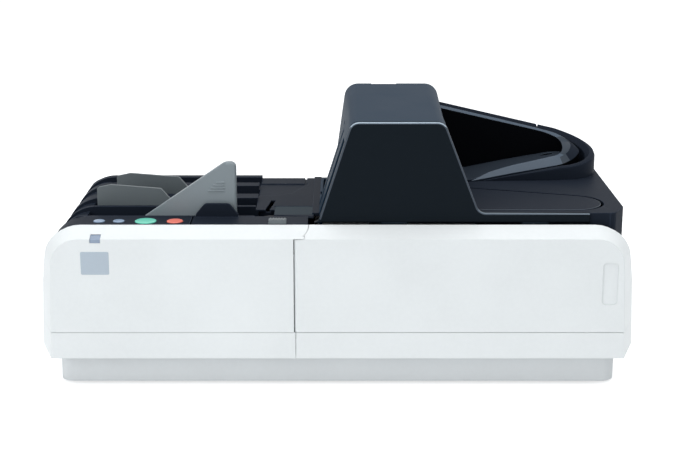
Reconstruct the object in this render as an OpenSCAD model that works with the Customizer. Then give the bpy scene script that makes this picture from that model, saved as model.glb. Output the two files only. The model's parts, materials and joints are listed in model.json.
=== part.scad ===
// Desktop cheque scanner: documents stand on edge in the hopper at the left, run through the
// tower past the reading heads, turn three times under the right deck and drop into two pockets.
// Millimetres. X runs to the right, Y from the front face to the rear, Z up from the table.

/* [Overall] */
// width at the foot of the flared front
body_w = 560; // [520:1:620]
// depth from the flat front face to the rear cover
body_d = 240; // [236:1:280]
// thickness of the moulded walls
wall = 3; // [2.4:0.1:3.6]
// play between a moving cover and its surroundings
shut_gap = 0.5; // [0.35:0.05:0.8]
// play of a running fit, on the radius
fit = 0.05; // [0.03:0.01:0.1]

/* [Levels] */
// height of the rubber feet
foot_h = 3; // [2:0.5:6]
// height of the recessed plinth
plinth_h = 27.5; // [22:0.5:34]
// height of the lower band
band_h = 25; // [20:0.5:30]
// height of the front panels
panel_h = 97.2; // [92:0.1:110]
// rise of the right deck over the left one
right_rise = 8.8; // [5:0.1:10]
// rise of the tower over the left deck
tower_rise = 94; // [80:1:110]
// depth of the document track under the left deck
track_depth = 24; // [20:0.5:27]

/* [Front panels] */
// radius of the upper corners of the flat face
face_corner_r = 25; // [15:1:30]
// how far the front flares out to each side
flare = 15; // [10:0.5:18]
// depth of the top bevel
bevel_d = 22.3; // [20:0.1:26]
// depth of the flared sides
bezel_d = 42; // [36:0.5:46]
// how much narrower each side is at the top than at the bottom
side_lean = 5; // [0:0.5:8]
// place of the upright seam, left of the middle
seam_x = 39.8; // [34:0.1:44]
// radius of the door's hinge barrel
barrel_r = 4; // [3.8:0.1:4.4]
// radius of the door's hinge pin
pin_r = 1.5; // [1.2:0.1:1.7]

/* [Tower] */
// half width of the tower's flat top
tower_top_w = 85; // [75:1:95]
// lean of the tower's left flank
flank_l = 30; // [22:1:34]
// lean of the tower's right flank
flank_r = 32; // [24:1:36]
// radius of the tower's upper corners
tower_r = 10; // [6:1:14]
// depth of the swinging tower front
cover_d = 6.4; // [5:0.2:7]

/* [Hopper and pockets] */
// width of the hopper trough
hopper_w = 26; // [22:0.5:28]
// width of the first pocket
pocket1_w = 30; // [26:0.5:33]
// width of the second pocket
pocket2_w = 34; // [28:0.5:36]
// thickness of the pusher
pusher_t = 6; // [5:0.5:7]
// thickness of a pocket plate
plate_t = 2.4; // [2:0.1:3]

/* [Drive] */
// radius of the rubber tyres
tyre_r = 12; // [10:0.5:13]
// radius of a roller shaft
shaft_r = 3; // [2.5:0.1:3.5]
// radius of the toothed pulleys
pulley_r = 8; // [7:0.5:10]
// radius of a pinch roller
pinch_r = 4; // [3.5:0.1:4.5]
// width of the open document track
slot_w = 3; // [2.4:0.1:3.6]

/* [Hidden] */

arc_steps = 8;
eps = 0.01;
far = 400;

z_tray = foot_h;
z_band = foot_h + plinth_h;
z_panel = z_band + band_h;
z_white = z_panel + panel_h;
z_left = z_white + 0.5;
z_right = z_left + right_rise;
z_tower = z_left + tower_rise;
z_floor = z_left - track_depth;
floor_t = 2;
z_plate = z_floor - floor_t;
plate_h = 3;
z_under = z_plate - plate_h;

half_foot = body_w / 2;
half_top = half_foot - side_lean;
bevel_slope = flare / bezel_d;
bevel_rise = bevel_d * bevel_slope;
corner_x = half_top - flare - face_corner_r;
corner_z = z_white - bevel_rise - face_corner_r;
z_split = corner_z;
z_flat = z_white - bevel_rise;
side_step = 2;
plinth_in = 20;
plinth_front = 14;
plinth_rear = 10;
rear_r = 16;

seam_gap = 0.4;
hinge_x = -seam_x + seam_gap / 2 + barrel_r;
hinge_y = barrel_r;
seam_flare = 13.5;

strip_back = 51;
hopper_y = strip_back + 2.5;
ridge1_y = hopper_y + hopper_w;
pocket1_y = ridge1_y + 4;
ridge2_y = pocket1_y + pocket1_w;
pocket2_y = ridge2_y + 17;
ridge3_y = pocket2_y + pocket2_w;
rear_groove_y = ridge3_y + 14;
rear_groove_w = 24;
shoulder_y = 212;
pocket_end_x = -78;
deck_end_x = -22.5;
left_arc_r = face_corner_r + bevel_rise + 0.5;

ridge_rise = 2.2;
ridge_set_in = 4.5;
flat_drop = 1;

panel_split_x = -135.8;
tower_front_y = 26;
tower_back_y = body_d - 7;
tower_waist_y = 112;
tower_mid_x = 55;
tower_top_l = tower_mid_x - tower_top_w / 2;
tower_top_r = tower_mid_x + tower_top_w / 2;
tower_foot_l = tower_top_l - flank_l;
tower_foot_r = tower_top_r + flank_r;
band_end_x = 232.5;
right_edge_x = 267.5;
right_front_y = 29;

track_y = 41.5;
guide_t = 1.2;
turn_x = 221.5;
turn_y = 69;
lens_r = 27.5;
tongue_x = 149;
tongue_y = 141;
tongue_r = 16;
ring_x = 227;
ring_y = 199;
ring_r = 37.5;
rim_in_r = 27.5;
island_r = 22;

function unit(v) = v / norm(v);
function turned(v, a) = [v[0] * cos(a) - v[1] * sin(a), v[0] * sin(a) + v[1] * cos(a)];

// the points of a corner rounded with radius r
function corner_arc(before, here, after, r) =
    let (
        a = unit(before - here),
        b = unit(after - here),
        half = acos(a * b) / 2,
        centre = here + unit(a + b) * r / sin(half),
        first = here + a * r / tan(half) - centre,
        side = cross(first, here + b * r / tan(half) - centre) > 0 ? 1 : -1
    )
    [for (i = [0 : arc_steps]) centre + turned(first, side * (180 - 2 * half) * i / arc_steps)];

function rounded(points, radii) =
    let (n = len(points))
    [for (i = [0 : n - 1])
        each radii[i] > 0
            ? corner_arc(points[(i + n - 1) % n], points[i], points[(i + 1) % n], radii[i])
            : [points[i]]];

// a prism along Z from a plan outline
module plan(points, z0, z1) {
    translate([0, 0, z0])
        linear_extrude(z1 - z0) polygon(points);
}

// a prism along Y from an outline seen from the front, in X and Z
module front_view(points, y0, y1) {
    translate([0, y1, 0])
        rotate([90, 0, 0])
            linear_extrude(y1 - y0) polygon(points);
}

// a prism along X from an outline seen from the side, in Y and Z
module side_view(points, x0, x1) {
    translate([x0, 0, 0])
        rotate([90, 0, 90])
            linear_extrude(x1 - x0) polygon(points);
}

module box(x0, x1, y0, y1, z0, z1) {
    translate([x0, y0, z0])
        cube([x1 - x0, y1 - y0, z1 - z0]);
}

module post(x, y, r, z0, z1) {
    translate([x, y, z0])
        cylinder(r = r, h = z1 - z0);
}

// a round bar along Y
module bar_y(x, z, r, y0, y1) {
    translate([x, y1, z])
        rotate([90, 0, 0])
            cylinder(r = r, h = y1 - y0);
}

// the front seen from the front at a given flare, drawn in by inset
function face_outline(grow, inset) = rounded([
    [-half_foot + flare - grow + inset, z_band - 1],
    [half_foot - flare + grow - inset, z_band - 1],
    [half_top - flare + grow - inset, z_white - bevel_rise + grow - inset],
    [-half_top + flare - grow + inset, z_white - bevel_rise + grow - inset]],
    [0, 0, face_corner_r + grow - inset, face_corner_r + grow - inset]);

// the flared front as a solid, drawn in by inset on every outer side
module bezel_form(inset) {
    in_side = inset / cos(atan(bevel_slope));
    intersection() {
        hull() {
            front_view(face_outline(inset * bevel_slope, in_side), inset, inset + eps);
            front_view(face_outline(flare, in_side), bezel_d - eps, bezel_d);
        }
        side_view([[0, 0], [bezel_d, 0], [bezel_d, corner_z - 26], [bevel_d, z_white - wall - 1],
            [bevel_d, z_white - inset], [0, z_white - inset]], -far, far);
    }
}

// everything behind the rear edge of the front panels
function bezel_back(gap) = [
    [bevel_d + gap, z_white + 20],
    [bevel_d + gap, z_white - wall - 1],
    [bezel_d + gap, corner_z - 26],
    [bezel_d + gap, foot_h - 1],
    [far, foot_h - 1],
    [far, z_white + 20]];

module scale_x(side) {
    mirror([side < 0 ? 1 : 0, 0, 0])
        children();
}

// the straight sides and rear behind the front panels
module body_form(inset, z0, z1) {
    lean = side_lean / (z_split - z_band);
    x0 = half_foot - side_step - lean * (z0 - z_band) - inset;
    x1 = half_foot - side_step - lean * (z1 - z_band) - inset;
    intersection() {
        front_view([[-x0, z0], [x0, z0], [x1, z1], [-x1, z1]], 0, body_d - inset);
        plan(rounded([[-half_foot, 10], [half_foot, 10],
            [half_foot - inset, body_d - inset], [-half_foot + inset, body_d - inset]],
            [0, 0, rear_r, rear_r]), z0 - 1, z1 + 1);
    }
}

// the quarter curve of the seam on the top bevel, as a plan outline of what lies left of it
function seam_plan(gap) = concat(
    [[-far, -1], [-seam_x - gap, -1]],
    [for (i = [0 : arc_steps])
        [-seam_x - gap + seam_flare * sin(90 * i / arc_steps), bevel_d * (1 - cos(90 * i / arc_steps))]],
    [[-seam_x - gap + seam_flare, far], [-far, far]]);

module rubber_feet() {
    color([0.1, 0.1, 0.1])
        for (x = [-half_foot + 50, half_foot - 50], y = [plinth_front + 22, body_d - 32])
            post(x, y, 10, 0, z_tray);
}

function plinth_plan(inset) = rounded([
    [-half_foot + plinth_in + inset, plinth_front + inset],
    [half_foot - plinth_in - inset, plinth_front + inset],
    [half_foot - plinth_in - inset, body_d - plinth_rear - inset],
    [-half_foot + plinth_in + inset, body_d - plinth_rear - inset]],
    [12 - inset, 12 - inset, 12 - inset, 12 - inset]);

module base_tray() {
    color([0.86, 0.87, 0.87]) {
        difference() {
            plan(plinth_plan(0), z_tray, z_band);
            plan(plinth_plan(wall), z_tray + wall, z_band + 1);
            // cooling slots in the floor
            for (i = [0 : 9])
                box(40 + i * 9, 44 + i * 9, body_d - 70, body_d - 30, z_tray - 1, z_tray + wall + 1);
        }
        for (x = [-200, -120, 20])
            box(x, x + 2, plinth_front + wall, body_d - plinth_rear - wall, z_tray + wall, z_tray + wall + 6);
    }
}

// one half of the lower band with its inward foot that rests on the tray
module skirt() {
    difference() {
        union() {
            intersection() {
                bezel_form(0);
                box(-far, far, -1, bezel_d, z_band, z_panel);
            }
            intersection() {
                body_form(0, z_band, z_panel);
                box(-far, far, bezel_d, far, z_band, z_panel);
            }
        }
        intersection() {
            bezel_form(wall);
            box(-far, far, -1, bezel_d + 1, z_band + wall, z_panel + 1);
        }
        intersection() {
            body_form(wall, z_band + wall, z_panel + 1);
            box(-far, far, bezel_d - 1, far, z_band, z_panel + 2);
        }
        plan(plinth_plan(wall), z_band - 1, z_band + wall + 1);
    }
}

module skirt_left() {
    color([0.9, 0.91, 0.91])
        intersection() {
            skirt();
            box(-far, -seam_x + 1.4 - seam_gap / 2, -1, far, 0, far);
        }
}

module skirt_right() {
    color([0.9, 0.91, 0.91])
        intersection() {
            skirt();
            box(-seam_x + 1.4 + seam_gap / 2, far, -1, far, 0, far);
        }
}

module side_cover(side) {
    difference() {
        intersection() {
            body_form(0, z_panel, z_split);
            side_view(bezel_back(shut_gap), -far, far);
            scale_x(side) box(half_foot - 60, far, 0, far, 0, far);
        }
        body_form(wall, z_panel - 1, z_split + 1);
        // the middle of the rear belongs to the rear cover
        box(-rear_half_w - seam_gap, rear_half_w + seam_gap, 80, far, 0, far);
        // cooling louvres
        for (i = [0 : 7])
            scale_x(side) box(half_foot - 20, far, 110 + i * 12, 114 + i * 12, z_panel + 18, z_panel + 46);
    }
}

module side_cover_left() {
    color([0.9, 0.91, 0.91]) side_cover(-1);
}

module side_cover_right() {
    color([0.9, 0.91, 0.91]) side_cover(1);
}

rear_half_w = half_foot - 40;
inlet_x = 196;
inlet_z = z_panel + 22;
inlet_w = 27;
inlet_h = 20;
switch_x = 156;
switch_w = 13;
switch_h = 19;
usb_x = 92;
usb_w = 12;
usb_h = 11;

module rear_cover() {
    color([0.88, 0.89, 0.89])
        difference() {
            box(-rear_half_w, rear_half_w, body_d - wall, body_d, z_panel, z_split);
            box(inlet_x - inlet_w / 2, inlet_x + inlet_w / 2, body_d - 10, far,
                inlet_z - inlet_h / 2, inlet_z + inlet_h / 2);
            box(switch_x - switch_w / 2, switch_x + switch_w / 2, body_d - 10, far,
                inlet_z - switch_h / 2, inlet_z + switch_h / 2);
            box(usb_x - usb_w / 2, usb_x + usb_w / 2, body_d - 10, far,
                inlet_z - usb_h / 2, inlet_z + usb_h / 2);
            for (i = [0 : 11])
                box(-190 + i * 14, -184 + i * 14, body_d - 10, far, z_panel + 14, z_panel + 48);
            for (x = screw_places, z = [z_panel + 6, z_split - 6])
                bar_y(x, z, screw_r + 0.1, body_d - 10, far);
        }
}

screw_r = 1.6;
screw_places = [-rear_half_w + 10, -20, rear_half_w - 10];

module rear_screws() {
    color([0.6, 0.6, 0.62])
        for (x = screw_places, z = [z_panel + 6, z_split - 6]) {
            bar_y(x, z, screw_r, body_d - wall - 6, body_d);
            bar_y(x, z, 5, body_d - wall - 8, body_d - wall);
        }
}

post_x = half_foot - plinth_in - wall - 11;
post_rear_y = body_d - plinth_rear - wall - 12;
post_places = [[-post_x, 52], [-post_x, post_rear_y], [-72, 90], [-72, post_rear_y],
    [post_x, 60], [post_x, post_rear_y], [80, post_rear_y]];

module chassis_posts() {
    color([0.7, 0.71, 0.73])
        for (p = post_places) {
            post(p[0], p[1], 5, z_tray + wall, z_under);
            post(p[0], p[1], 9, z_tray + wall, z_tray + wall + 3);
        }
}

plate_half_w = half_foot - 23;
plate_front = 22;
plate_rear = body_d - 14;

module transport_plate() {
    color([0.75, 0.76, 0.78])
        difference() {
            box(-plate_half_w, plate_half_w, plate_front, plate_rear, z_under, z_plate);
            // the front wall of the right deck reaches down past the plate
            box(tower_foot_r, far, 0, shell_front_y + wall + shut_gap, 0, far);
            box(-far, -corner_x - 12, 0, bezel_d, 0, far);
            for (r = roller_places)
                post(r[0], r[1], shaft_r + fit, z_under - 1, z_plate + 1);
            for (r = pinch_places)
                post(r[0], r[1], 2 + fit, z_under - 1, z_plate + 1);
            post(gate_x, gate_y, 2 + fit, z_under - 1, z_plate + 1);
            pusher_slot(z_under - 1, z_plate + 1);
            // the cable openings
            for (x = [-180, 190])
                box(x, x + 26, 120, 150, z_under - 1, z_plate + 1);
        }
}

module front_panel_left() {
    color([0.93, 0.94, 0.94])
        difference() {
            intersection() {
                difference() {
                    bezel_form(0);
                    bezel_form(wall);
                }
                union() {
                    box(-far, -seam_x - seam_gap / 2, -1, far, z_panel + seam_gap, far);
                    plan(seam_plan(seam_gap / 2), z_flat, far);
                    hinge_tab(0);
                }
            }
            window_box(0);
        }
}

window_x = -219.8;
window_w = 9.6;
window_z = z_flat - 0.5;
window_h = 6.2;

module window_box(inset) {
    box(window_x - window_w / 2 + inset, window_x + window_w / 2 - inset, -1, 20,
        window_z - window_h / 2 + inset, window_z + window_h / 2 - inset);
}

module status_window() {
    color([0.6, 0.7, 0.8])
        intersection() {
            difference() {
                bezel_form(0.3);
                bezel_form(wall + 4);
            }
            window_box(0);
        }
}

// the left deck's outer form: a flat top that rolls down over the left end
module left_form(inset, y0, y1) {
    intersection() {
        union() {
            box(-corner_x, 0, y0, y1, z_split, z_left - inset);
            bar_y(-corner_x, z_split, left_arc_r - inset, y0, y1);
        }
        box(-far, deck_end_x, y0, y1, z_split, far);
    }
}

function rear_shoulder(inset) = rounded([
    [-1, z_split - 1], [-1, z_left + ridge_rise + 1], [shoulder_y, z_left + ridge_rise + 1], [shoulder_y, z_left - 1.5],
    [body_d - inset, z_left - 18 - inset], [body_d - inset, z_split - 1]],
    [0, 0, 0, 4, 12, 0]);

module trough(x0, x1, y0, width) {
    box(x0, x1, y0, y0 + width, z_floor, far);
}

// a shallow groove that follows the rolled left end
module end_groove(y0, width) {
    intersection() {
        difference() {
            bar_y(-corner_x, z_split, left_arc_r + 5, y0, y0 + width);
            bar_y(-corner_x, z_split, left_arc_r - 3, y0 - 1, y0 + width + 1);
        }
        box(-far, -corner_x + 1, y0, y0 + width, z_split + 8, far);
    }
}

module deck_left() {
    color([0.2, 0.22, 0.26])
        difference() {
            intersection() {
                translate([ridge_set_in, 0, 0])
                    left_form(-ridge_rise, strip_back, body_d);
                box(-far, deck_end_x, 0, body_d, 0, far);
                side_view(rear_shoulder(0), -far, 0);
            }
            // the ridges stand proud of the strip in front and of the flat deck at their right
            box(-far, far, 0, hopper_y, z_left, far);
            box(pocket_end_x, far, 0, body_d, z_left - flat_drop, far);
            // the shallow tray in front of the feed rollers
            box(-61, deck_end_x + 1, 61, 94, z_left - flat_drop - 0.5, far);
            // open below the transport plate
            box(-half_top + side_step + 2 * wall, 0, 0, body_d - wall, 0, z_plate);
            trough(-corner_x - 2, panel_split_x + 76, hopper_y, hopper_w);
            trough(-corner_x - 2, pocket_end_x, pocket1_y, pocket1_w);
            trough(-corner_x - 2, pocket_end_x, pocket2_y, pocket2_w);
            for (g = [[hopper_y, hopper_w], [pocket1_y, pocket1_w], [pocket2_y, pocket2_w],
                    [rear_groove_y, rear_groove_w]])
                end_groove(g[0], g[1]);
            box(-corner_x, pocket_end_x, rear_groove_y, rear_groove_y + rear_groove_w, z_left - 5, far);
            // the hollow ridges between the troughs
            box(-corner_x + 2, pocket_end_x, ridge2_y + 2.5, pocket2_y - 2.5, z_plate - 1, z_left - 2.5);
            box(-corner_x + 2, pocket_end_x, ridge3_y + 2.5, body_d - 20, z_plate - 1, z_left - 8);
            box(-235, -corner_x + 2, ridge1_y, body_d - 20, z_plate - 1, z_plate + 4);
            // the covered way from the tower to the pockets
            box(pocket_end_x + 3, 0, pocket1_y + 3, ridge3_y - 3, z_plate - 1, z_left - 3);
            box(pocket_end_x - 1, pocket_end_x + 4, pocket1_y + 8, pocket1_y + 14, z_floor, z_left - 6);
            box(pocket_end_x - 1, pocket_end_x + 4, pocket2_y + 8, pocket2_y + 14, z_floor, z_left - 6);
            // room for the feed rollers
            box(-112, deck_end_x + 1, strip_back - 1, hopper_y + 1, z_floor + 1, z_left - 2.5);
            box(feed_at[0] - tyre_r - 2, deck_end_x + 1, hopper_y - 1, retard_at[1] + tyre_r + 1, z_plate - 1, z_left - 2.5);
            // the open mouth of the track
            track_mouth();
            pusher_slot(0, z_floor + 1);
            for (p = pocket_pin_places)
                post(p[0], p[1], pin_r + 0.01, z_plate - 1, z_floor + 1);
        }
}

// the slot that the documents enter, bending towards the tower
module track_mouth() {
    turn = atan(5 / 37);
    translate([-59.5, 58, z_floor])
        rotate([0, 0, -turn])
            translate([-1, -slot_w / 2, 0])
                cube([44, slot_w, far]);
}

key_y = bevel_d + 11;
key_places = [[-220.5, key_y], [-202.4, key_y], [-177.5, key_y], [-150.5, key_y]];
key_r = [5.5, 5.5, 10, 7.8];
key_rise = 1.6;
key_travel = 1.2;
key_stem = 4;
panel_t = 2.5;

module operation_panel() {
    color([0.2, 0.22, 0.26])
        difference() {
            intersection() {
                left_form(0, bevel_d, strip_back);
                side_view(bezel_back(0), -far, far);
            }
            left_form(panel_t, 0, strip_back - panel_t);
            box(panel_split_x - seam_gap / 2, 0, 0, far, 0, far);
            for (i = [0 : 3])
                post(key_places[i][0], key_places[i][1], key_r[i] + 0.4, z_split, far);
            box(-plate_half_w - 0.3, 0, 0, far, 0, z_plate);
            box(-far, 0, 0, strip_back - panel_t, 0, z_split + 1);
        }
}

module key_board() {
    z = z_left - panel_t - key_stem - key_travel - 0.3;
    color([0.1, 0.35, 0.2])
        difference() {
            box(-corner_x + 1, panel_split_x - 3, bevel_d + panel_t, strip_back - panel_t,
                z - 4.6, z - 3);
        }
    color([0.3, 0.3, 0.3])
        for (p = key_places) {
            box(p[0] - 3, p[0] + 3, p[1] - 3, p[1] + 3, z - 3, z - 0.8);
            post(p[0], p[1], 1.5, z - 0.8, z);
        }
}

// a domed key with a collar below the panel and a stem over its switch
module key(i) {
    x = key_places[i][0];
    y = key_places[i][1];
    r = key_r[i];
    dome_r = (r * r + key_rise * key_rise) / (2 * key_rise);
    intersection() {
        translate([x, y, z_left + key_rise - dome_r])
            sphere(r = dome_r);
        post(x, y, r, z_left - panel_t - 1.2, z_left + key_rise);
    }
    intersection() {
        post(x, y, r + 0.9, z_left - panel_t - 2.1, z_left - panel_t - 0.9);
        box(x - 20, x + 20, bevel_d + 0.4, strip_back - panel_t - 0.4, 0, far);
    }
    post(x, y, 1.8, z_left - panel_t - key_stem, z_left - panel_t - 2);
}

module button_prev() {
    color([0.6, 0.7, 0.8]) key(0);
}

module button_next() {
    color([0.6, 0.7, 0.8]) key(1);
}

module button_start() {
    color([0.4, 0.85, 0.76]) key(2);
}

module button_stop() {
    color([0.98, 0.55, 0.48]) key(3);
}

latch_x = -57.2;
latch_w = 16;
latch_travel = 4;
latch_h = 4.2;
latch_y = bevel_d + 5.5;
feeder_end_x = -seam_x + seam_flare - 1.2;

module feeder_cover() {
    color([0.2, 0.22, 0.26])
        difference() {
            union() {
                difference() {
                    // the top's left edge is rounded so that it clears the operation panel
                    front_view(rounded([[feeder_end_x, z_left - 9], [feeder_end_x, z_left],
                        [feeder_start_x, z_left], [feeder_start_x, z_left - 9]], [0, 0, 2, 0]),
                        bevel_d + shut_gap, strip_back - shut_gap);
                    box(panel_split_x + 2, feeder_end_x + 1, bevel_d + shut_gap + panel_t,
                        strip_back - shut_gap - panel_t, z_left - 10, z_left - panel_t);
                    // the left wall leaves room for the hinge side of the swing
                    box(panel_split_x, panel_split_x + 4, 0, far, 0, z_left - panel_t);
                }
                // the upstand that shields the pick-up roller
                front_view(rounded([[-132.5, z_left - 4], [-92.7, z_left - 4], [-92.7, z_left + 2.5],
                    [-101, z_left + 12.8], [-124, z_left + 12.8], [-132.5, z_left + 2.5]],
                    [0, 0, 2, 5, 5, 2]), strip_back - shut_gap - panel_t, strip_back - shut_gap);
                // the hinge barrel
                bar_y(feeder_hinge_x, feeder_hinge_z, 2.2, bevel_d + 4, strip_back - 4);
            }
            bar_y(feeder_hinge_x, feeder_hinge_z, 1 + fit, bevel_d, strip_back);
            // the slot of the latch
            box(latch_x - 3 - latch_travel, latch_x + 3.4, latch_y - 2.4, latch_y + 2.4, z_left - 6, far);
            // the feed rollers stand under the cover
            for (p = [pickup_at, feed_at])
                post(p[0], p[1], tyre_r + 1, 0, z_left - panel_t - eps);
        }
}

feeder_start_x = panel_split_x + seam_gap / 2 + 0.3;
feeder_hinge_x = panel_split_x + 3.2;
feeder_hinge_z = z_left - 2.6;

module feeder_latch() {
    color([0.45, 0.47, 0.5]) {
        difference() {
            box(latch_x - latch_w / 2, latch_x + latch_w / 2, bevel_d + 0.6, latch_y + 2.5,
                z_left + 0.3, z_left + latch_h);
            for (i = [0 : 4])
                box(latch_x - 6.6 + i * 3, latch_x - 5.4 + i * 3, 0, latch_y + 1.4, z_left + latch_h - 0.8, far);
        }
        box(latch_x - 2.6, latch_x + 3, latch_y - 2, latch_y + 2, z_left - panel_t - 1.6, z_left + 1);
        box(latch_x - 2.6, latch_x + 12, latch_y - 2, latch_y + 2, z_left - panel_t - 2.6, z_left - panel_t - 0.4);
    }
}

pusher_x = -116;
pusher_neck = 5;
rod_z = z_under - 7;
rod_r = 2;
rod_xs = [pusher_x - 6, pusher_x + 6];

module pusher_slot(z0, z1) {
    box(pusher_x - pusher_neck / 2 - 0.4, pusher_x + pusher_neck / 2 + 0.4,
        hopper_y + 0.1, ridge1_y - 0.1, z0, z1);
}

pusher_peak = z_left + 51;

module hopper_pusher() {
    y0 = hopper_y + 0.5;
    outline = rounded([[-181, z_floor + 0.8], [-94.5, z_floor + 0.8], [-94.5, pusher_peak],
        [-105, pusher_peak], [-181, z_left - 1]], [0, 0, 5, 4, 3]);
    color([0.58, 0.61, 0.64]) {
        difference() {
            front_view(outline, y0, y0 + pusher_t);
            // hollow towards the rear
            front_view(rounded([[-170, z_floor + 4], [-97, z_floor + 4], [-97, pusher_peak - 4],
                [-103.5, pusher_peak - 4], [-170, z_left + 1.5]], [2, 2, 3, 3, 2]),
                y0 + 2.4, y0 + pusher_t + 1);
            // finger ribs, each longer than the one above
            for (i = [0 : 3])
                box(-104 - 8 - i * 2.4, -105, y0 - 1, y0 + 0.8,
                    z_left + 31.5 - i * 2.6, z_left + 32.7 - i * 2.6);
        }
        box(pusher_x - pusher_neck / 2, pusher_x + pusher_neck / 2, y0, y0 + pusher_t,
            rod_z, z_floor + 4);
        difference() {
            box(pusher_x - 11, pusher_x + 11, y0, y0 + pusher_t, rod_z - 4.5, rod_z + 4.5);
            for (x = rod_xs)
                bar_y(x, rod_z, rod_r + fit, 0, far);
        }
    }
}

module pusher_rods() {
    color([0.75, 0.76, 0.78]) {
        for (x = rod_xs)
            bar_y(x, rod_z, rod_r, hopper_y - 1.4, ridge1_y + 5);
        for (y = [hopper_y - 1.4, ridge1_y + 2])
            box(pusher_x - 10, pusher_x + 10, y, y + 1.5, rod_z - 4, z_under);
    }
}

pocket_pin_places = [[-231, pocket1_y + pocket1_w / 2], [-219, pocket2_y + pocket2_w / 2]];
pocket_turn = 10;
pin_top = z_floor + 16;

module pocket_pins() {
    color([0.75, 0.76, 0.78])
        for (p = pocket_pin_places)
            post(p[0], p[1], pin_r, z_plate, pin_top);
}

module pocket_plate(i) {
    h = z_left + 20 - z_floor;
    color([0.42, 0.43, 0.45])
        translate([pocket_pin_places[i][0], pocket_pin_places[i][1], z_floor])
            rotate([0, 0, -pocket_turn])
                difference() {
                    union() {
                        front_view(rounded([[-1, 1], [70, 1], [73.3, h - 13], [63, h - 1.8],
                            [13, h], [-1, h - 3.4]], [0, 3, 2, 3, 3, 3]), -plate_t / 2, plate_t / 2);
                        post(0, 0, pin_r + 2, 1, pin_top - z_floor + 2);
                    }
                    post(0, 0, pin_r + fit, -1, pin_top - z_floor + 0.5);
                }
}

module pocket_plate_1() {
    pocket_plate(0);
}

module pocket_plate_2() {
    pocket_plate(1);
}

pickup_at = [-100, strip_back + 3 - tyre_r];
feed_at = [-62, 58 - slot_w / 2 + 0.4 - tyre_r];
retard_at = [-62, 58 + slot_w / 2 + tyre_r - 0.4];
// the feed motor lies on the line through the two rollers that its belt drives
feed_motor_at = pickup_at + 1.3 * (pickup_at - feed_at);
drive_y = track_y + slot_w / 2 + tyre_r - 0.5;
drive_places = [[-2, drive_y], [86, drive_y]];
drive_motor_at = [142, drive_y];
pinch_y = drive_y - tyre_r - pinch_r - 0.4;
pinch_places = [[-2, pinch_y], [86, pinch_y]];
roller_places = [pickup_at, feed_at, retard_at, drive_places[0], drive_places[1]];
tyre_z0 = z_floor + 3;
tyre_z1 = z_left - panel_t - 5;
belt_z = z_under - 12;
belt_w = 7;

// a rubber tyre on a hub and shaft, with its pulley below the plate
module roller(at, pulley_z, has_pulley) {
    x = at[0];
    y = at[1];
    color([0.12, 0.12, 0.13])
        difference() {
            post(x, y, tyre_r, tyre_z0, tyre_z1);
            post(x, y, tyre_r - 3, tyre_z1 - 2, tyre_z1 + 1);
        }
    color([0.8, 0.8, 0.8]) {
        post(x, y, shaft_r, belt_z - belt_w / 2 - 2, tyre_z1 + 2);
        if (has_pulley)
            pulley(x, y, pulley_z);
    }
}

module pulley(x, y, z) {
    post(x, y, pulley_r, z - belt_w / 2, z + belt_w / 2);
    for (end = [-1, 1])
        post(x, y, pulley_r + 2, z + end * (belt_w / 2 + 0.75) - 0.75, z + end * (belt_w / 2 + 0.75) + 0.75);
}

module pickup_roller() {
    roller(pickup_at, belt_z, true);
}

module feed_roller() {
    roller(feed_at, belt_z, true);
}

module retard_roller() {
    roller(retard_at, belt_z, false);
}

module drive_roller_1() {
    roller(drive_places[0], belt_z, true);
}

module drive_roller_2() {
    roller(drive_places[1], belt_z, true);
}

module pinch_roller(at) {
    color([0.7, 0.7, 0.72]) {
        post(at[0], at[1], pinch_r, tyre_z0, tyre_z1 - 4);
        post(at[0], at[1], 2, z_under - 2, tyre_z1);
    }
}

module pinch_roller_1() {
    pinch_roller(pinch_places[0]);
}

module pinch_roller_2() {
    pinch_roller(pinch_places[1]);
}

motor_r = 18;
motor_top = belt_z - belt_w / 2 - 4;

// a can motor under a bridge that hangs from the plate
module motor(at) {
    x = at[0];
    y = at[1];
    color([0.55, 0.56, 0.58])
        difference() {
            union() {
                post(x, y, motor_r, motor_top - 44, motor_top - 2);
                post(x, y, motor_r - 1, motor_top - 46, motor_top - 43);
                box(x - motor_r - 4, x + motor_r + 4, y - pulley_r - 9, y + pulley_r + 9, motor_top - 2, motor_top);
                for (side = [-1, 1], end = [-1, 1])
                    post(x + side * (motor_r + 2), y + end * (pulley_r + 7), 2, motor_top - 2, z_under);
            }
            post(x, y, 2.5 + fit, motor_top - 12, motor_top + 1);
        }
}

module motor_pulley(at) {
    color([0.8, 0.8, 0.8]) {
        pulley(at[0], at[1], belt_z);
        post(at[0], at[1], 2.5, motor_top - 11.5, belt_z);
    }
}

module feed_motor() {
    motor(feed_motor_at);
}

module feed_pulley() {
    motor_pulley(feed_motor_at);
}

module drive_motor() {
    motor(drive_motor_at);
}

module drive_pulley() {
    motor_pulley(drive_motor_at);
}

belt_t = 1.5;

// a belt round two pulleys, as one closed band
module belt(a, b) {
    along = atan2(b[1] - a[1], b[0] - a[0]);
    length = norm(b - a);
    translate([a[0], a[1], belt_z - belt_w / 2 + 0.2])
        rotate([0, 0, along])
            difference() {
                stadium(length, pulley_r + fit + belt_t, belt_w - 0.4);
                translate([0, 0, -1])
                    stadium(length, pulley_r + fit, belt_w + 2);
            }
}

module stadium(length, r, h) {
    cylinder(r = r, h = h);
    translate([length, 0, 0])
        cylinder(r = r, h = h);
    translate([0, -r, 0])
        cube([length, 2 * r, h]);
}

module feed_belt() {
    color([0.1, 0.1, 0.1])
        belt(feed_motor_at, feed_at);
}

module drive_belt() {
    color([0.1, 0.1, 0.1])
        belt(drive_places[0], drive_motor_at);
}

guide_x0 = tower_foot_l + wall + 0.4;
guide_x1 = 128;
guide_top = z_left + 74;

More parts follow.
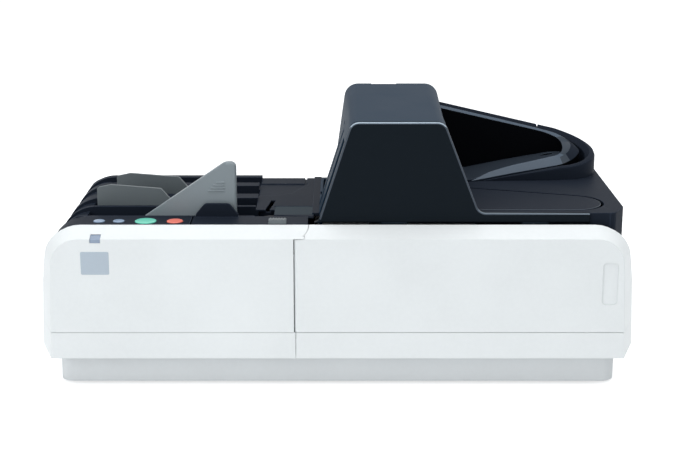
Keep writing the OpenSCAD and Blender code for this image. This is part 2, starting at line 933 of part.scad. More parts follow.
// the two sheet walls of the straight track, with windows for the rollers
module track_guides() {
    color([0.7, 0.71, 0.73])
        for (side = [-1, 1]) {
            y0 = track_y + side * (slot_w / 2 + guide_t / 2) - guide_t / 2;
            difference() {
                box(guide_x0, guide_x1, y0, y0 + guide_t, z_plate, guide_top);
                // above the decks the guides end inside the tower
                difference() {
                    box(-far, far, 0, far, z_left - 1, far);
                    tower_form(wall + 1, z_left - 2, shell_front_y, tower_back_y);
                }
                for (p = drive_places)
                    box(p[0] - tyre_r - 1, p[0] + tyre_r + 1, 0, far, z_plate - 1, tyre_z1 + 3);
                box(sensor_x - 3, sensor_x + 3, 0, far, z_floor + 2, guide_top - 4);
            }
        }
}

sensor_x = 38;
sensor_w = 18;

module image_sensor(side) {
    depth = side < 0 ? 5.6 : 12;
    y0 = side < 0 ? track_y - slot_w / 2 - guide_t - depth : track_y + slot_w / 2 + guide_t;
    color([0.15, 0.15, 0.16])
        difference() {
            box(sensor_x - sensor_w / 2, sensor_x + sensor_w / 2, y0, y0 + depth, z_plate, guide_top - 2);
            // the glass line of the reading head
            box(sensor_x - 2.5, sensor_x + 2.5, side < 0 ? y0 + depth - 1 : y0 - 1,
                side < 0 ? y0 + depth + 1 : y0 + 1, z_floor + 3, guide_top - 6);
        }
}

module image_sensor_front() {
    image_sensor(-1);
}

module image_sensor_rear() {
    image_sensor(1);
}

module micr_head() {
    y0 = track_y + slot_w / 2 + guide_t;
    color([0.7, 0.68, 0.6]) {
        box(12, 26, y0, y0 + 14, z_plate, z_plate + 24);
        box(14, 24, y0 + 14, y0 + 18, z_plate, z_plate + 16);
    }
}

module cartridge_holder() {
    y0 = track_y + slot_w / 2 + guide_t;
    color([0.25, 0.26, 0.28])
        difference() {
            box(54, 72, y0, y0 + 40, z_plate, z_plate + 30);
            box(56, 70, y0 + 2, y0 + 38, z_plate + 2, z_plate + 31);
        }
}

module imprinter_cartridge() {
    y0 = track_y + slot_w / 2 + guide_t;
    color([0.1, 0.1, 0.12])
        difference() {
            box(56, 70, y0 + 2, y0 + 38, z_plate + 2, z_plate + 44);
            box(55, 71, y0 + 24, y0 + 39, z_plate + 38, z_plate + 45);
        }
}

gate_x = -46;
gate_y = (pocket1_y + ridge3_y) / 2;

module diverter_gate() {
    color([0.3, 0.31, 0.33]) {
        post(gate_x, gate_y, 2, z_under - 4, z_left - 8);
        plan(rounded([[gate_x - 22, gate_y - 0.6], [gate_x, gate_y - 3.5], [gate_x + 3, gate_y - 3.5],
            [gate_x + 3, gate_y + 3.5], [gate_x, gate_y + 3.5], [gate_x - 22, gate_y + 0.6]],
            [0, 3, 2, 2, 3, 0]), z_floor + 1, z_left - 9);
    }
}

module gate_actuator() {
    color([0.55, 0.45, 0.3])
        difference() {
            union() {
                post(gate_x, gate_y, 10, z_under - 16, z_under);
                box(gate_x - 15, gate_x + 15, gate_y - 4, gate_y + 4, z_under - 3, z_under);
            }
            post(gate_x, gate_y, 2 + fit, z_under - 5, z_under + 1);
        }
}

function tower_outline(inset, z0) = rounded([
    [tower_foot_l + inset + (z0 - z_left) * flank_l / tower_rise, z0],
    [tower_foot_r - inset - (z0 - z_left) * flank_r / tower_rise, z0],
    [tower_top_r - inset, z_tower - inset],
    [tower_top_l + inset, z_tower - inset]],
    [0, 0, tower_r - inset / 2, tower_r - inset / 2]);

function tower_rear_outline(inset, z0) = rounded([
    [-4 + inset, z0],
    [tower_foot_r - 6 - inset, z0],
    [tower_top_r + 4 - inset, z_tower + 1.3 - inset],
    [tower_top_l - 3.5 + inset, z_tower + 1.3 - inset]],
    [0, 0, tower_r + 4 - inset / 2, tower_r + 4 - inset / 2]);

// the outer form of the tower:
// one section up to tower_waist_y, then flanks that fold inwards to the slimmer rear
module tower_form(inset, z0, y0, y1) {
    front_view(tower_outline(inset, z0), y0, tower_waist_y);
    hull() {
        front_view(tower_outline(inset, z0), tower_waist_y - 1, tower_waist_y);
        intersection() {
            front_view(tower_rear_outline(inset, z0), y1 - 0.1, y1);
            box(-far, far, 0, far, z0, z0 + 2);
        }
    }
    hull() {
        intersection() {
            front_view(tower_outline(inset, z0), tower_waist_y - 1, tower_waist_y);
            box(-far, far, 0, far, z_tower - tower_r - inset - 2, far);
        }
        front_view(tower_rear_outline(inset, z0), y1 - 0.1, y1);
    }
}

shell_front_y = tower_front_y + cover_d + seam_gap;

// the room that the tower takes up among its neighbours, with a small gap round it
module tower_room() {
    tower_form(-shut_gap, z_left, shell_front_y, tower_back_y);
    box(tower_foot_l, tower_foot_r + shut_gap, shell_front_y, tower_back_y, z_plate - 1, z_left + 1);
}

module tower_shell() {
    color([0.2, 0.23, 0.28])
        difference() {
            union() {
                difference() {
                    tower_form(0, z_left, shell_front_y, tower_back_y);
                    tower_form(wall, z_left - 1, shell_front_y - 1, tower_back_y - wall);
                }
                // the foot, open to the front, stands on the transport plate
                difference() {
                    box(tower_foot_l + 0.5, tower_foot_r, shell_front_y, tower_back_y, z_plate, z_left + 0.5);
                    box(tower_foot_l + wall, tower_foot_r - wall, 0, tower_back_y - wall, 0, far);
                }
            }
            // the documents enter and leave through the left flank
            box(tower_foot_l - 9, tower_mid_x - 30, track_y - 5, 61, z_floor, z_left + 74);
            for (y = [pocket1_y, pocket2_y])
                box(tower_foot_l - 9, tower_mid_x - 30, y + 6, y + 16, z_floor, z_left + 74);
            // the track leaves on the right and comes back behind
            box(tower_mid_x + 20, far, track_y - 12, track_y + 12, 0, z_right + 4);
            // the grip notch in the upper rear edge
            box(35, 61, tower_back_y - 3, far, z_tower - 1.5, far);
        }
}

// the outline of the swinging tower front with the low band to its right
function cover_outline(inset) = rounded([
    [tower_foot_l - 5 + inset, z_left - 0.1 + inset],
    [band_end_x - inset, z_left - 0.1 + inset],
    [band_end_x - inset, z_right - inset],
    [tower_foot_r + 1 - inset / 2, z_right + 0.6 - inset],
    [tower_top_r - inset, z_tower - inset],
    [tower_top_l + inset, z_tower - inset],
    [tower_foot_l + inset, z_left + 2 + inset]],
    [0, 0, 1, 9 + inset, tower_r - inset / 2, tower_r - inset / 2, 0]);

module tower_front_cover() {
    color([0.1, 0.12, 0.15]) {
        difference() {
            front_view(cover_outline(0), tower_front_y, tower_front_y + cover_d);
            front_view(cover_outline(2.2), tower_front_y + 2.4, tower_front_y + cover_d + 1);
        }
        // two tongues that join it to the white door below
        for (x = [40, 170]) {
            box(x, x + 24, bevel_d, tower_front_y + 2.4, z_white - wall - 6, z_white);
            box(x, x + 24, tower_front_y + 0.5, tower_front_y + 2.4, z_white - 2, z_left + 3);
        }
    }
}

module hinge_tab(grow) {
    post(hinge_x, hinge_y, tab_r + grow, z_flat - grow, z_flat + tab_h + grow);
}

module front_door() {
    color([0.93, 0.94, 0.94])
        difference() {
            union() {
                intersection() {
                    difference() {
                        bezel_form(0);
                        bezel_form(wall);
                    }
                    box(-far, far, -1, far, z_panel + shut_gap, far);
                    difference() {
                        box(hinge_x, far, -1, far, 0, far);
                        plan(seam_plan(-seam_gap / 2), z_flat - 0.1, far);
                    }
                }
                // the hinge barrel along the left edge
                post(hinge_x, hinge_y, barrel_r, z_panel + shut_gap, barrel_top);
                // stiffening ribs behind the face
                for (x = [60, 160])
                    box(x, x + 2, wall - 1, wall + 6, z_panel + 8, corner_z + 6);
            }
            post(hinge_x, hinge_y, pin_r + fit, 0, barrel_top + 1);
            for (z = arm_levels)
                union() {
                    post(hinge_x, hinge_y, arm_r + 0.4, z - 0.4, z + arm_h + 0.4);
                    box(hinge_x - barrel_r - 1, hinge_x + barrel_r + 1, hinge_y, hinge_y + barrel_r + 1,
                        z - 0.4, z + arm_h + 0.4);
                }
            // the left panel has a small tab over the barrel, which the door clears in its swing
            hinge_tab(0.3);
            // the finger grip at the right end of the face
            grip();
        }
}

tab_r = 5.8;
tab_h = 1.4;
grip_x0 = 242;
grip_x1 = 256;
grip_z0 = z_panel + 27;
grip_z1 = z_panel + 67;

module grip() {
    front_view(rounded([[grip_x0, grip_z0], [grip_x1, grip_z0], [grip_x1, grip_z1], [grip_x0, grip_z1]],
        [4, 4, 4, 4]), -1, 1.2);
}

barrel_top = z_flat - 0.5;
arm_r = 2.8;
arm_h = 6;
arm_turn = 50;
arm_levels = [z_panel + 24, z_panel + 56];

module hinge_bracket() {
    color([0.7, 0.71, 0.73])
        difference() {
            union() {
                for (z = arm_levels) {
                    post(hinge_x, hinge_y, arm_r, z, z + arm_h);
                    translate([hinge_x, hinge_y, z])
                        rotate([0, 0, arm_turn])
                            translate([0, -1.5, 0])
                                cube([34, 3, arm_h]);
                }
                translate([hinge_x, hinge_y, arm_levels[0]])
                    rotate([0, 0, arm_turn])
                        translate([24, -3, 0])
                            cube([10, 6, z_under - arm_levels[0]]);
            }
            post(hinge_x, hinge_y, pin_r, 0, far);
        }
}

module hinge_pin() {
    color([0.75, 0.76, 0.78])
        post(hinge_x, hinge_y, pin_r, z_panel + 6, barrel_top - 4);
}

// the right deck in plan, drawn in by inset
function deck_plan(inset) = rounded([
    [tower_foot_r + inset, shell_front_y + inset],
    [band_end_x + seam_gap + inset, shell_front_y + inset],
    [band_end_x + seam_gap + inset, right_front_y + inset],
    [right_edge_x - 12, right_front_y + inset],
    [right_edge_x - inset, right_front_y + 22],
    [right_edge_x - inset, body_d - inset],
    [tower_foot_r + inset, body_d - inset]],
    [0, 0, 0, 8, 8, 14, 0]);

// the outline of a leaf with a round tip at each end, used for the three turns
module lens_plan(grow) {
    union() {
        translate([turn_x, turn_y])
            circle(r = lens_r + grow);
        polygon([[122, track_y - grow + 0.5], [turn_x, turn_y - lens_r - grow],
            [turn_x + (lens_r + grow) * sin(18), turn_y + (lens_r + grow) * cos(18)],
            [122, 129.5 + grow]]);
    }
}

module tongue_plan(grow) {
    union() {
        translate([tongue_x, tongue_y])
            circle(r = tongue_r + grow);
        polygon([[tongue_x - (tongue_r + grow) * sin(18) * 0.6, tongue_y - (tongue_r + grow) * 0.98],
            [turn_x + 20, 93 - grow + 4], [turn_x + 20, 160],
            [tongue_x, tongue_y + tongue_r + grow]]);
    }
}

module island_plan(grow) {
    union() {
        translate([ring_x, ring_y])
            circle(r = island_r + grow);
        polygon([[122, 155 - grow], [tongue_x, tongue_y + tongue_r + slot_w - grow],
            [ring_x, ring_y - island_r - grow], [ring_x, ring_y + island_r + grow],
            [90, ring_y + island_r + grow], [90, 155 - grow]]);
    }
}

function ramp_z(x) = z_right + 2 + max(0, x - 158) * 0.17;
ring_front_z = ramp_z(ring_x);
ring_back_z = ring_front_z + 25.3;
back_slope = 0.232;
back_end_x = 88;

// the U of the outer wall: u runs 0 to 1 on the front arm, 1 to 2 round the ring, 2 to 3 on the back arm
ring_steps = 20;
function u_point(u, r) =
    u <= 1 ? [158 + (ring_x - 158) * u, ring_y - r - (1 - u) * (ring_y - r - 158) * (r > 30 ? 0.02 : 0.75)]
    : u <= 2 ? [ring_x + r * sin(180 * (u - 1)), ring_y - r * cos(180 * (u - 1))]
    : [ring_x - (ring_x - back_end_x) * (u - 2), ring_y + r];
function u_height(u) =
    u <= 1 ? z_right + 1 + (ring_front_z - z_right - 1) * u
    : u <= 2 ? ring_front_z + (ring_back_z - ring_front_z) * pow(u - 1, 1.4)
    : ring_back_z + (ring_x - back_end_x) * (u - 2) * back_slope;

u_list = concat([for (i = [0 : 3]) i / 4], [for (i = [0 : ring_steps]) 1 + i / ring_steps], [3]);

// a wall swept along the U between two radii, with its own heights on both sides
module swept_wall(r_out, r_in, foot, top_out, top_in) {
    n = len(u_list);
    points = [for (u = u_list)
        let (a = u_point(u, r_out), b = u_point(u, r_in), h = u_height(u))
        each [[a[0], a[1], foot], [b[0], b[1], foot], [b[0], b[1], h + top_in], [a[0], a[1], h + top_out]]];
    sides = [for (i = [0 : n - 2], k = [0 : 3])
        let (p = 4 * i + k, q = 4 * i + (k + 1) % 4)
        each [[p, q + 4, q], [p, p + 4, q + 4]]];
    polyhedron(points, concat(sides, [[0, 1, 2, 3], [4 * n - 1, 4 * n - 2, 4 * n - 3, 4 * n - 4]]));
}

deck_t = 4;

module deck_right() {
    color([0.2, 0.22, 0.26]) {
        difference() {
            plan(deck_plan(0), z_split, z_right);
            plan(deck_plan(wall), z_split - 1, z_right - deck_t);
            translate([0, 0, z_split])
                linear_extrude(far) lens_plan(slot_w);
            translate([0, 0, z_split])
                linear_extrude(far) difference() {
                    island_plan(slot_w);
                    polygon([[0, 0], [tongue_x, 0], [tongue_x, 140], [0, 140]]);
                }
            // the side towards the tower is open for the track
            box(0, tower_foot_r + wall + 1, shell_front_y + wall, body_d - wall, z_split - 1, z_right - deck_t);
        }
        // the low wall behind the tower
        box(deck_end_x + 0.5, tower_foot_r + 1, tower_back_y + 0.3, body_d, z_split, z_left);
        // the tongue between the second and the third arm
        difference() {
            translate([0, 0, z_plate])
                linear_extrude(z_right - z_plate) tongue_plan(-0.2);
            translate([0, 0, z_plate - 1])
                linear_extrude(z_right - z_plate - deck_t + 1) tongue_plan(-wall);
        }
        difference() {
            swept_wall(ring_r, rim_in_r, z_right - 1, -1.5, 0);
            tower_room();
        }
    }
}

module lens_cover() {
    color([0.2, 0.22, 0.26])
        difference() {
            translate([0, 0, z_plate])
                linear_extrude(z_right - z_plate) lens_plan(0);
            translate([0, 0, z_plate - 1])
                linear_extrude(z_right - z_plate - deck_t + 1) lens_plan(-wall);
            tower_room();
            // the left end is open for the track
            box(0, tower_foot_r + 8, 0, track_y + 20, z_plate - 1, z_right - deck_t);
        }
}

cavity_x = 214;
cavity_r = 17;

// the front edge of the bay, and the line in which its floor rises to the right
bay_line = [[141, 153], [175, 173], [cavity_x, ring_y - cavity_r]];

module bay_floor(y1) {
    front_view([[70, z_plate - 1], [cavity_x + 30, z_plate - 1], [cavity_x + 30, z_right + 19],
        [175, z_right + 9.5], [133, z_right + 1], [70, z_right + 1]], 140, y1);
}

module island_cover() {
    color([0.2, 0.22, 0.26])
        difference() {
            union() {
                intersection() {
                    translate([0, 0, z_plate])
                        linear_extrude(far) island_plan(0);
                    union() {
                        swept_wall(island_r + 1, 8, z_plate, 0, 7);
                        // the low nose in front of the bevel
                        front_view([[100, z_plate], [159, z_plate], [159, z_right + 1], [100, z_right + 1]],
                            150, ring_y);
                        // the rising floor of the bay
                        intersection() {
                            bay_floor(ring_y + cavity_r + 1);
                            plan(concat([[80, 150], [bay_line[0][0], 150]], bay_line, [[cavity_x + cavity_r, ring_y],
                                [cavity_x + cavity_r, ring_y + cavity_r + 1], [80, ring_y + cavity_r + 1]]),
                                z_plate, far);
                        }
                        front_view([[90, z_plate], [ring_x, z_plate], [ring_x, ring_back_z - 2],
                            [90, ring_back_z - 2 + (ring_x - 90) * back_slope]], ring_y + cavity_r, ring_y + island_r);
                    }
                }
            }
            // the V shaped bay over its floor
            difference() {
                union() {
                    post(cavity_x, ring_y, cavity_r, z_right, far);
                    plan(concat([[80, 150], [bay_line[0][0], 150]], bay_line,
                        [[cavity_x, ring_y + cavity_r], [80, ring_y + cavity_r]]), z_right, far);
                }
                bay_floor(far);
            }
            // hollow below
            box(125, ring_x, ring_y - 12, ring_y + 12, z_plate - 1, z_right - 4);
            // the tower's flank
            tower_room();
        }
}

module main_board() {
    z = z_tray + wall + 8;
    color([0.1, 0.35, 0.2])
        box(-60, 110, 100, 205, z, z + 1.6);
    color([0.3, 0.3, 0.3]) {
        for (x = [-52, 102], y = [106, 199])
            post(x, y, 3, z_tray + wall, z);
        box(0, 28, 140, 168, z + 1.6, z + 4);
        box(48, 66, 120, 138, z + 1.6, z + 4);
        for (i = [0 : 3])
            box(-44 + i * 16, -34 + i * 16, 196, 202, z + 1.6, z + 12);
    }
}

module power_supply() {
    z = z_tray + wall;
    color([0.72, 0.73, 0.75])
        difference() {
            box(130, 240, 110, 205, z, z + 42);
            for (i = [0 : 8])
                box(138 + i * 11, 143 + i * 11, 120, 195, z + 40, z + 43);
        }
}

module power_inlet() {
    color([0.08, 0.08, 0.08])
        difference() {
            box(inlet_x - inlet_w / 2, inlet_x + inlet_w / 2, body_d - wall - 16, body_d,
                inlet_z - inlet_h / 2, inlet_z + inlet_h / 2);
            box(inlet_x - inlet_w / 2 + 2.5, inlet_x + inlet_w / 2 - 2.5, body_d - 15, far,
                inlet_z - inlet_h / 2 + 2.5, inlet_z + inlet_h / 2 - 2.5);
        }
    color([0.75, 0.75, 0.7])
        for (p = [[-7, 0], [0, 2.5], [7, 0]])
            box(inlet_x + p[0] - 1, inlet_x + p[0] + 1, body_d - 16, body_d - 3,
                inlet_z + p[1] - 2, inlet_z + p[1] + 2);
}

module usb_port() {
    color([0.7, 0.7, 0.72])
        difference() {
            box(usb_x - usb_w / 2, usb_x + usb_w / 2, body_d - wall - 13, body_d,
                inlet_z - usb_h / 2, inlet_z + usb_h / 2);
            difference() {
                box(usb_x - usb_w / 2 + 1, usb_x + usb_w / 2 - 1, body_d - 12, far,
                    inlet_z - usb_h / 2 + 1, inlet_z + usb_h / 2 - 1);
                box(usb_x - 3, usb_x + 3, body_d - 13, body_d - 2, inlet_z - 1.5, inlet_z + 1.5);
            }
        }
}

module power_switch() {
    color([0.1, 0.1, 0.1])
        translate([switch_x, body_d - 7, inlet_z])
            intersection() {
                rotate([0, 90, 0])
                    translate([0, 0, -switch_w / 2 + 0.4])
                        cylinder(r = 7, h = switch_w - 0.8);
                translate([-switch_w, -6, -switch_h / 2 + 0.4])
                    cube([2 * switch_w, 12.5, switch_h - 0.8]);
            }
}

translate([0, -body_d / 2, 0]) {
    rubber_feet();
    base_tray();
    skirt_left();
    skirt_right();
    side_cover_left();
    side_cover_right();
    rear_cover();
    rear_screws();
    chassis_posts();
    transport_plate();
    front_panel_left();
    status_window();
    deck_left();
    operation_panel();
    key_board();
    button_prev();
    button_next();
    button_start();
    button_stop();
    feeder_cover();
    feeder_latch();
    hopper_pusher();
    pusher_rods();
    pocket_plate_1();
    pocket_plate_2();
    pocket_pins();
    pickup_roller();
    feed_roller();
    retard_roller();
    feed_motor();
    feed_pulley();
    feed_belt();
    drive_roller_1();
    drive_roller_2();
    pinch_roller_1();
    pinch_roller_2();
    drive_motor();
    drive_pulley();
    drive_belt();
    track_guides();
    image_sensor_front();
    image_sensor_rear();
    micr_head();
    imprinter_cartridge();
    cartridge_holder();
    tower_shell();
    deck_right();
    lens_cover();
    island_cover();
    front_door();
    tower_front_cover();
    hinge_bracket();
    hinge_pin();
    diverter_gate();
    gate_actuator();
    main_board();
    power_supply();
    power_inlet();
    usb_port();
    power_switch();
}
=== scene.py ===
# %% [markdown]
# A desktop cheque scanner
#
# The machine has a white flared front in two panels, a black top with a hopper and two pockets at the
# left, a tall tower in the middle, and a deck at the right whose wall climbs round the loop of the track.
# The imported model gives every solid its place. This lesson dresses it: it builds the softer pieces that a
# plain solid leaves out, and gives each piece a material made of nodes.

# %% Load the imported model, with a helper for a part's box
import json
import math

import bpy
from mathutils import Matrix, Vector


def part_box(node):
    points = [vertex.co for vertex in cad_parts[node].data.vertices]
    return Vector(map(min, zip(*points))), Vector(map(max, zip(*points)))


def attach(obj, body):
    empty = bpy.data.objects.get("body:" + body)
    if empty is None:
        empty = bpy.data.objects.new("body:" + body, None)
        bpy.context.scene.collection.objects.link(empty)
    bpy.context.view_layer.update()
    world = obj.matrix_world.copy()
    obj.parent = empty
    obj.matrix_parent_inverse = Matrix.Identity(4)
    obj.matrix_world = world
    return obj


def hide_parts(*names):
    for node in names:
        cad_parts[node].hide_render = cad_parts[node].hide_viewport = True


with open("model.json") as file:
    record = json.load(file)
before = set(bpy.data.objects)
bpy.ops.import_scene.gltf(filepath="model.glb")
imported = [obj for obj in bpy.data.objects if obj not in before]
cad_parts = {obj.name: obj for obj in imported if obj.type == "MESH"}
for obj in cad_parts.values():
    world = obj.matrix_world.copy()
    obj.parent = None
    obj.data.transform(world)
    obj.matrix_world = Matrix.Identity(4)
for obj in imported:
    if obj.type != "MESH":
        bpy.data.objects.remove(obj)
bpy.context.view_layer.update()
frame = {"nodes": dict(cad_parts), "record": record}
nodes = frame["nodes"]
record = frame["record"]

# %% [markdown]
# Places
#
# All places are written in millimetres as they are on the machine: X to the right from the middle, Y back
# from the flat front face, Z up from the table. One function turns such a place into the frame's metres.

# %% Sizes that the pieces share
MM = 0.001
DEPTH = 240.0
LEFT_DECK_Z = 153.2
RIGHT_DECK_Z = 162.0
TRACK_FLOOR_Z = 129.2
HOPPER_Y = 53.5


def place(x, y, z):
    """A point of the machine, in metres in the frame."""
    return Vector((x * MM, (y - DEPTH / 2) * MM, z * MM))


print("front left corner of the left deck:", place(-235, 0, LEFT_DECK_Z))

# %% [markdown]
# The camera
#
# The photograph was taken with a long lens, straight on and 15 degrees down. The distance and the lens
# come from the perspective of the deck's long edges.

# %% Set the camera
CAMERA_LENS = 77.63
CAMERA_PLACE = (0.0, -1.3884, 0.4982)
DEGREES_DOWN = 15.0
camera_data = bpy.data.cameras.new("photo_camera")
camera = bpy.data.objects.new("photo_camera", camera_data)
bpy.context.scene.collection.objects.link(camera)
camera_data.sensor_width = 36.0
camera_data.lens = CAMERA_LENS
camera_data.clip_start = 0.05
camera_data.clip_end = 30.0
camera.location = CAMERA_PLACE
camera.rotation_euler = (math.radians(90.0 - DEGREES_DOWN), 0.0, 0.0)
bpy.context.scene.camera = camera
print("camera at", tuple(round(c, 4) for c in camera.location))

# %% [markdown]
# The studio
#
# The ground of the photograph is plain white and the light is soft. A pale floor catches a faint shadow,
# a large lamp above and one at each side stand for the softboxes, and the world fills the rest.
# The world is white to the camera and to mirrors, and dimmer to what it lights. The floor has a little
# glow of its own that only the camera and mirrors see, which lifts it to white and keeps the shadow.

# %% A helper for materials
def new_material(name):
    """A material with an empty node tree and its output; returns the material, its tree and the output."""
    material = bpy.data.materials.new(name)
    material.use_nodes = True
    tree = material.node_tree
    tree.nodes.clear()
    output = tree.nodes.new("ShaderNodeOutputMaterial")
    return material, tree, output


# %% Helpers for nodes
def new_node(tree, kind, group=None, **values):
    """A shader node with values for its inputs; an underscore in a name stands for a blank."""
    node = tree.nodes.new("ShaderNode" + kind)
    if group:
        node.node_tree = group
    for socket_name, value in values.items():
        node.inputs[socket_name.replace("_", " ")].default_value = value
    return node


def math_node(tree, operation):
    """A node for one step of arithmetic."""
    node = new_node(tree, "Math")
    node.operation = operation
    return node


def link_nodes(tree, *pairs):
    """Link each pair of an output socket and an input socket."""
    for source, target in pairs:
        tree.links.new(source, target)


def seen_directly(tree):
    """1 for rays from the camera, a mirror or through glass, and 0 for the light that falls on things."""
    ray = new_node(tree, "LightPath")
    camera_or_gloss = math_node(tree, "MAXIMUM")
    with_glass = math_node(tree, "MAXIMUM")
    link_nodes(tree,
               (ray.outputs["Is Camera Ray"], camera_or_gloss.inputs[0]),
               (ray.outputs["Is Glossy Ray"], camera_or_gloss.inputs[1]),
               (camera_or_gloss.outputs[0], with_glass.inputs[0]),
               (ray.outputs["Is Transmission Ray"], with_glass.inputs[1]))
    return with_glass.outputs[0]


# %% World
FILL_STRENGTH = 0.55
world = bpy.data.worlds.new("studio")
bpy.context.scene.world = world
world.use_nodes = True
world_tree = world.node_tree
world_tree.nodes.clear()
world_out = new_node(world_tree, "OutputWorld")
fill_light = new_node(world_tree, "Background", Color=(0.93, 0.97, 1.0, 1.0), Strength=FILL_STRENGTH)
seen_white = new_node(world_tree, "Background", Color=(1.0, 1.0, 1.0, 1.0), Strength=1.0)
world_mix = new_node(world_tree, "MixShader")
link_nodes(world_tree,
           (seen_directly(world_tree), world_mix.inputs["Fac"]),
           (fill_light.outputs[0], world_mix.inputs[1]),
           (seen_white.outputs[0], world_mix.inputs[2]),
           (world_mix.outputs[0], world_out.inputs["Surface"]))
bpy.context.scene.view_settings.view_transform = "Standard"
print("world fill:", FILL_STRENGTH)

# %% Floor
FLOOR_GLOW = 0.6
FLOOR_SIDE = 14.0
bpy.ops.object.select_all(action="DESELECT")
bpy.ops.mesh.primitive_plane_add(size=FLOOR_SIDE, location=(0.0, 3.0, -0.0005))
floor = bpy.context.object
floor.name = "studio_floor"
floor_material, floor_tree, floor_out = new_material("pale_floor")
floor_shader = new_node(floor_tree, "BsdfDiffuse", Color=(0.9, 0.9, 0.9, 1.0))
floor_glow = new_node(floor_tree, "Emission")
glow_level = math_node(floor_tree, "MULTIPLY")
glow_level.inputs[1].default_value = FLOOR_GLOW
floor_both = new_node(floor_tree, "AddShader")
link_nodes(floor_tree,
           (seen_directly(floor_tree), glow_level.inputs[0]),
           (glow_level.outputs[0], floor_glow.inputs["Strength"]),
           (floor_shader.outputs[0], floor_both.inputs[0]),
           (floor_glow.outputs[0], floor_both.inputs[1]),
           (floor_both.outputs[0], floor_out.inputs["Surface"]))
floor.data.materials.append(floor_material)

# %% Lamps
def softbox(name, location, target, width, height, power, tint):
    """A rectangular lamp that faces the target."""
    data = bpy.data.lights.new(name, "AREA")
    data.shape = "RECTANGLE"
    data.size = width
    data.size_y = height
    data.energy = power
    data.color = tint
    lamp = bpy.data.objects.new(name, data)
    bpy.context.scene.collection.objects.link(lamp)
    lamp.location = location
    direction = Vector(target) - Vector(location)
    lamp.rotation_euler = direction.to_track_quat("-Z", "Y").to_euler()
    return lamp


softbox("top_softbox", (-0.1, -0.1, 1.7), (0.0, 0.0, 0.1), 1.8, 1.2, 14.0, (1.0, 1.0, 1.0))
softbox("left_softbox", (-1.5, -1.5, 0.9), (0.0, 0.0, 0.12), 1.2, 1.0, 12.0, (0.97, 0.99, 1.0))
softbox("right_softbox", (1.3, -0.7, 1.5), (0.1, 0.0, 0.12), 0.9, 0.9, 6.0, (1.0, 1.0, 1.0))

# %% [markdown]
# Effects that many finishes share
#
# Moulded plastic has a fine eroded texture, its tone changes a little over a hand's width, its edges are
# rounded, and dust settles on what faces up. Each effect is a node group with named sockets, so that
# every finish can use it with its own numbers. A group only puts out masks, values and normals.

# %% Helpers for node groups
def new_group(name, inputs, outputs):
    """A shader node group; inputs are (name, kind, default), outputs are (name, kind)."""
    group = bpy.data.node_groups.new(name, "ShaderNodeTree")
    for socket_name, kind, default in inputs:
        socket = group.interface.new_socket(socket_name, in_out="INPUT", socket_type=kind)
        socket.default_value = default
    for socket_name, kind in outputs:
        group.interface.new_socket(socket_name, in_out="OUTPUT", socket_type=kind)
    return group, group.nodes.new("NodeGroupInput"), group.nodes.new("NodeGroupOutput")


FLOAT = "NodeSocketFloat"
VECTOR = "NodeSocketVector"

# %% Moulded grain: the fine bumps of an eroded mould, and a slow change of tone
def build_moulded_grain():
    """Two noises and a cell pattern: the height of the grain, a slow cloud and fine specks."""
    group, given, result = new_group(
        "moulded_grain", [("Scale", FLOAT, 900.0), ("Cloud Scale", FLOAT, 14.0)],
        [("Height", FLOAT), ("Cloud", FLOAT), ("Speck", FLOAT)])
    links = group.links
    where = new_node(group, "TexCoord")
    fine = new_node(group, "TexNoise", Detail=3.0, Roughness=0.6)
    cells = new_node(group, "TexVoronoi")
    cloud = new_node(group, "TexNoise", Detail=2.0)
    speck = new_node(group, "TexNoise", Detail=1.0, Scale=260.0)
    height = math_node(group, "MULTIPLY_ADD")
    height.inputs[1].default_value = 0.5
    for texture in (fine, cells, cloud, speck):
        links.new(where.outputs["Object"], texture.inputs["Vector"])
    links.new(given.outputs["Scale"], fine.inputs["Scale"])
    links.new(given.outputs["Scale"], cells.inputs["Scale"])
    links.new(given.outputs["Cloud Scale"], cloud.inputs["Scale"])
    links.new(cells.outputs["Distance"], height.inputs[0])
    links.new(fine.outputs["Fac"], height.inputs[2])
    links.new(height.outputs[0], result.inputs["Height"])
    links.new(cloud.outputs["Fac"], result.inputs["Cloud"])
    links.new(speck.outputs["Fac"], result.inputs["Speck"])
    return group


MOULDED_GRAIN = build_moulded_grain()

# %% Soft edge: rounds a sharp edge in the shading and marks where it is
def build_soft_edge():
    """A rounded normal, and a mask that grows where it leaves the true one."""
    group, given, result = new_group(
        "soft_edge", [("Radius", FLOAT, 0.0006)], [("Normal", VECTOR), ("Edge", FLOAT)])
    links = group.links
    rounder = new_node(group, "Bevel")
    rounder.samples = 6
    facing = new_node(group, "NewGeometry")
    compare = new_node(group, "VectorMath")
    compare.operation = "DOT_PRODUCT"
    ramp = new_node(group, "MapRange", From_Min=0.995, From_Max=0.86)
    links.new(given.outputs["Radius"], rounder.inputs["Radius"])
    links.new(rounder.outputs["Normal"], compare.inputs[0])
    links.new(facing.outputs["Normal"], compare.inputs[1])
    links.new(compare.outputs["Value"], ramp.inputs["Value"])
    links.new(rounder.outputs["Normal"], result.inputs["Normal"])
    links.new(ramp.outputs[0], result.inputs["Edge"])
    return group


SOFT_EDGE = build_soft_edge()

# %% Settled dust: a mask on what faces up, broken up by two scales of noise
def product(group, first, second):
    """The product of two sockets."""
    node = math_node(group, "MULTIPLY")
    link_nodes(group, (first, node.inputs[0]), (second, node.inputs[1]))
    return node.outputs[0]


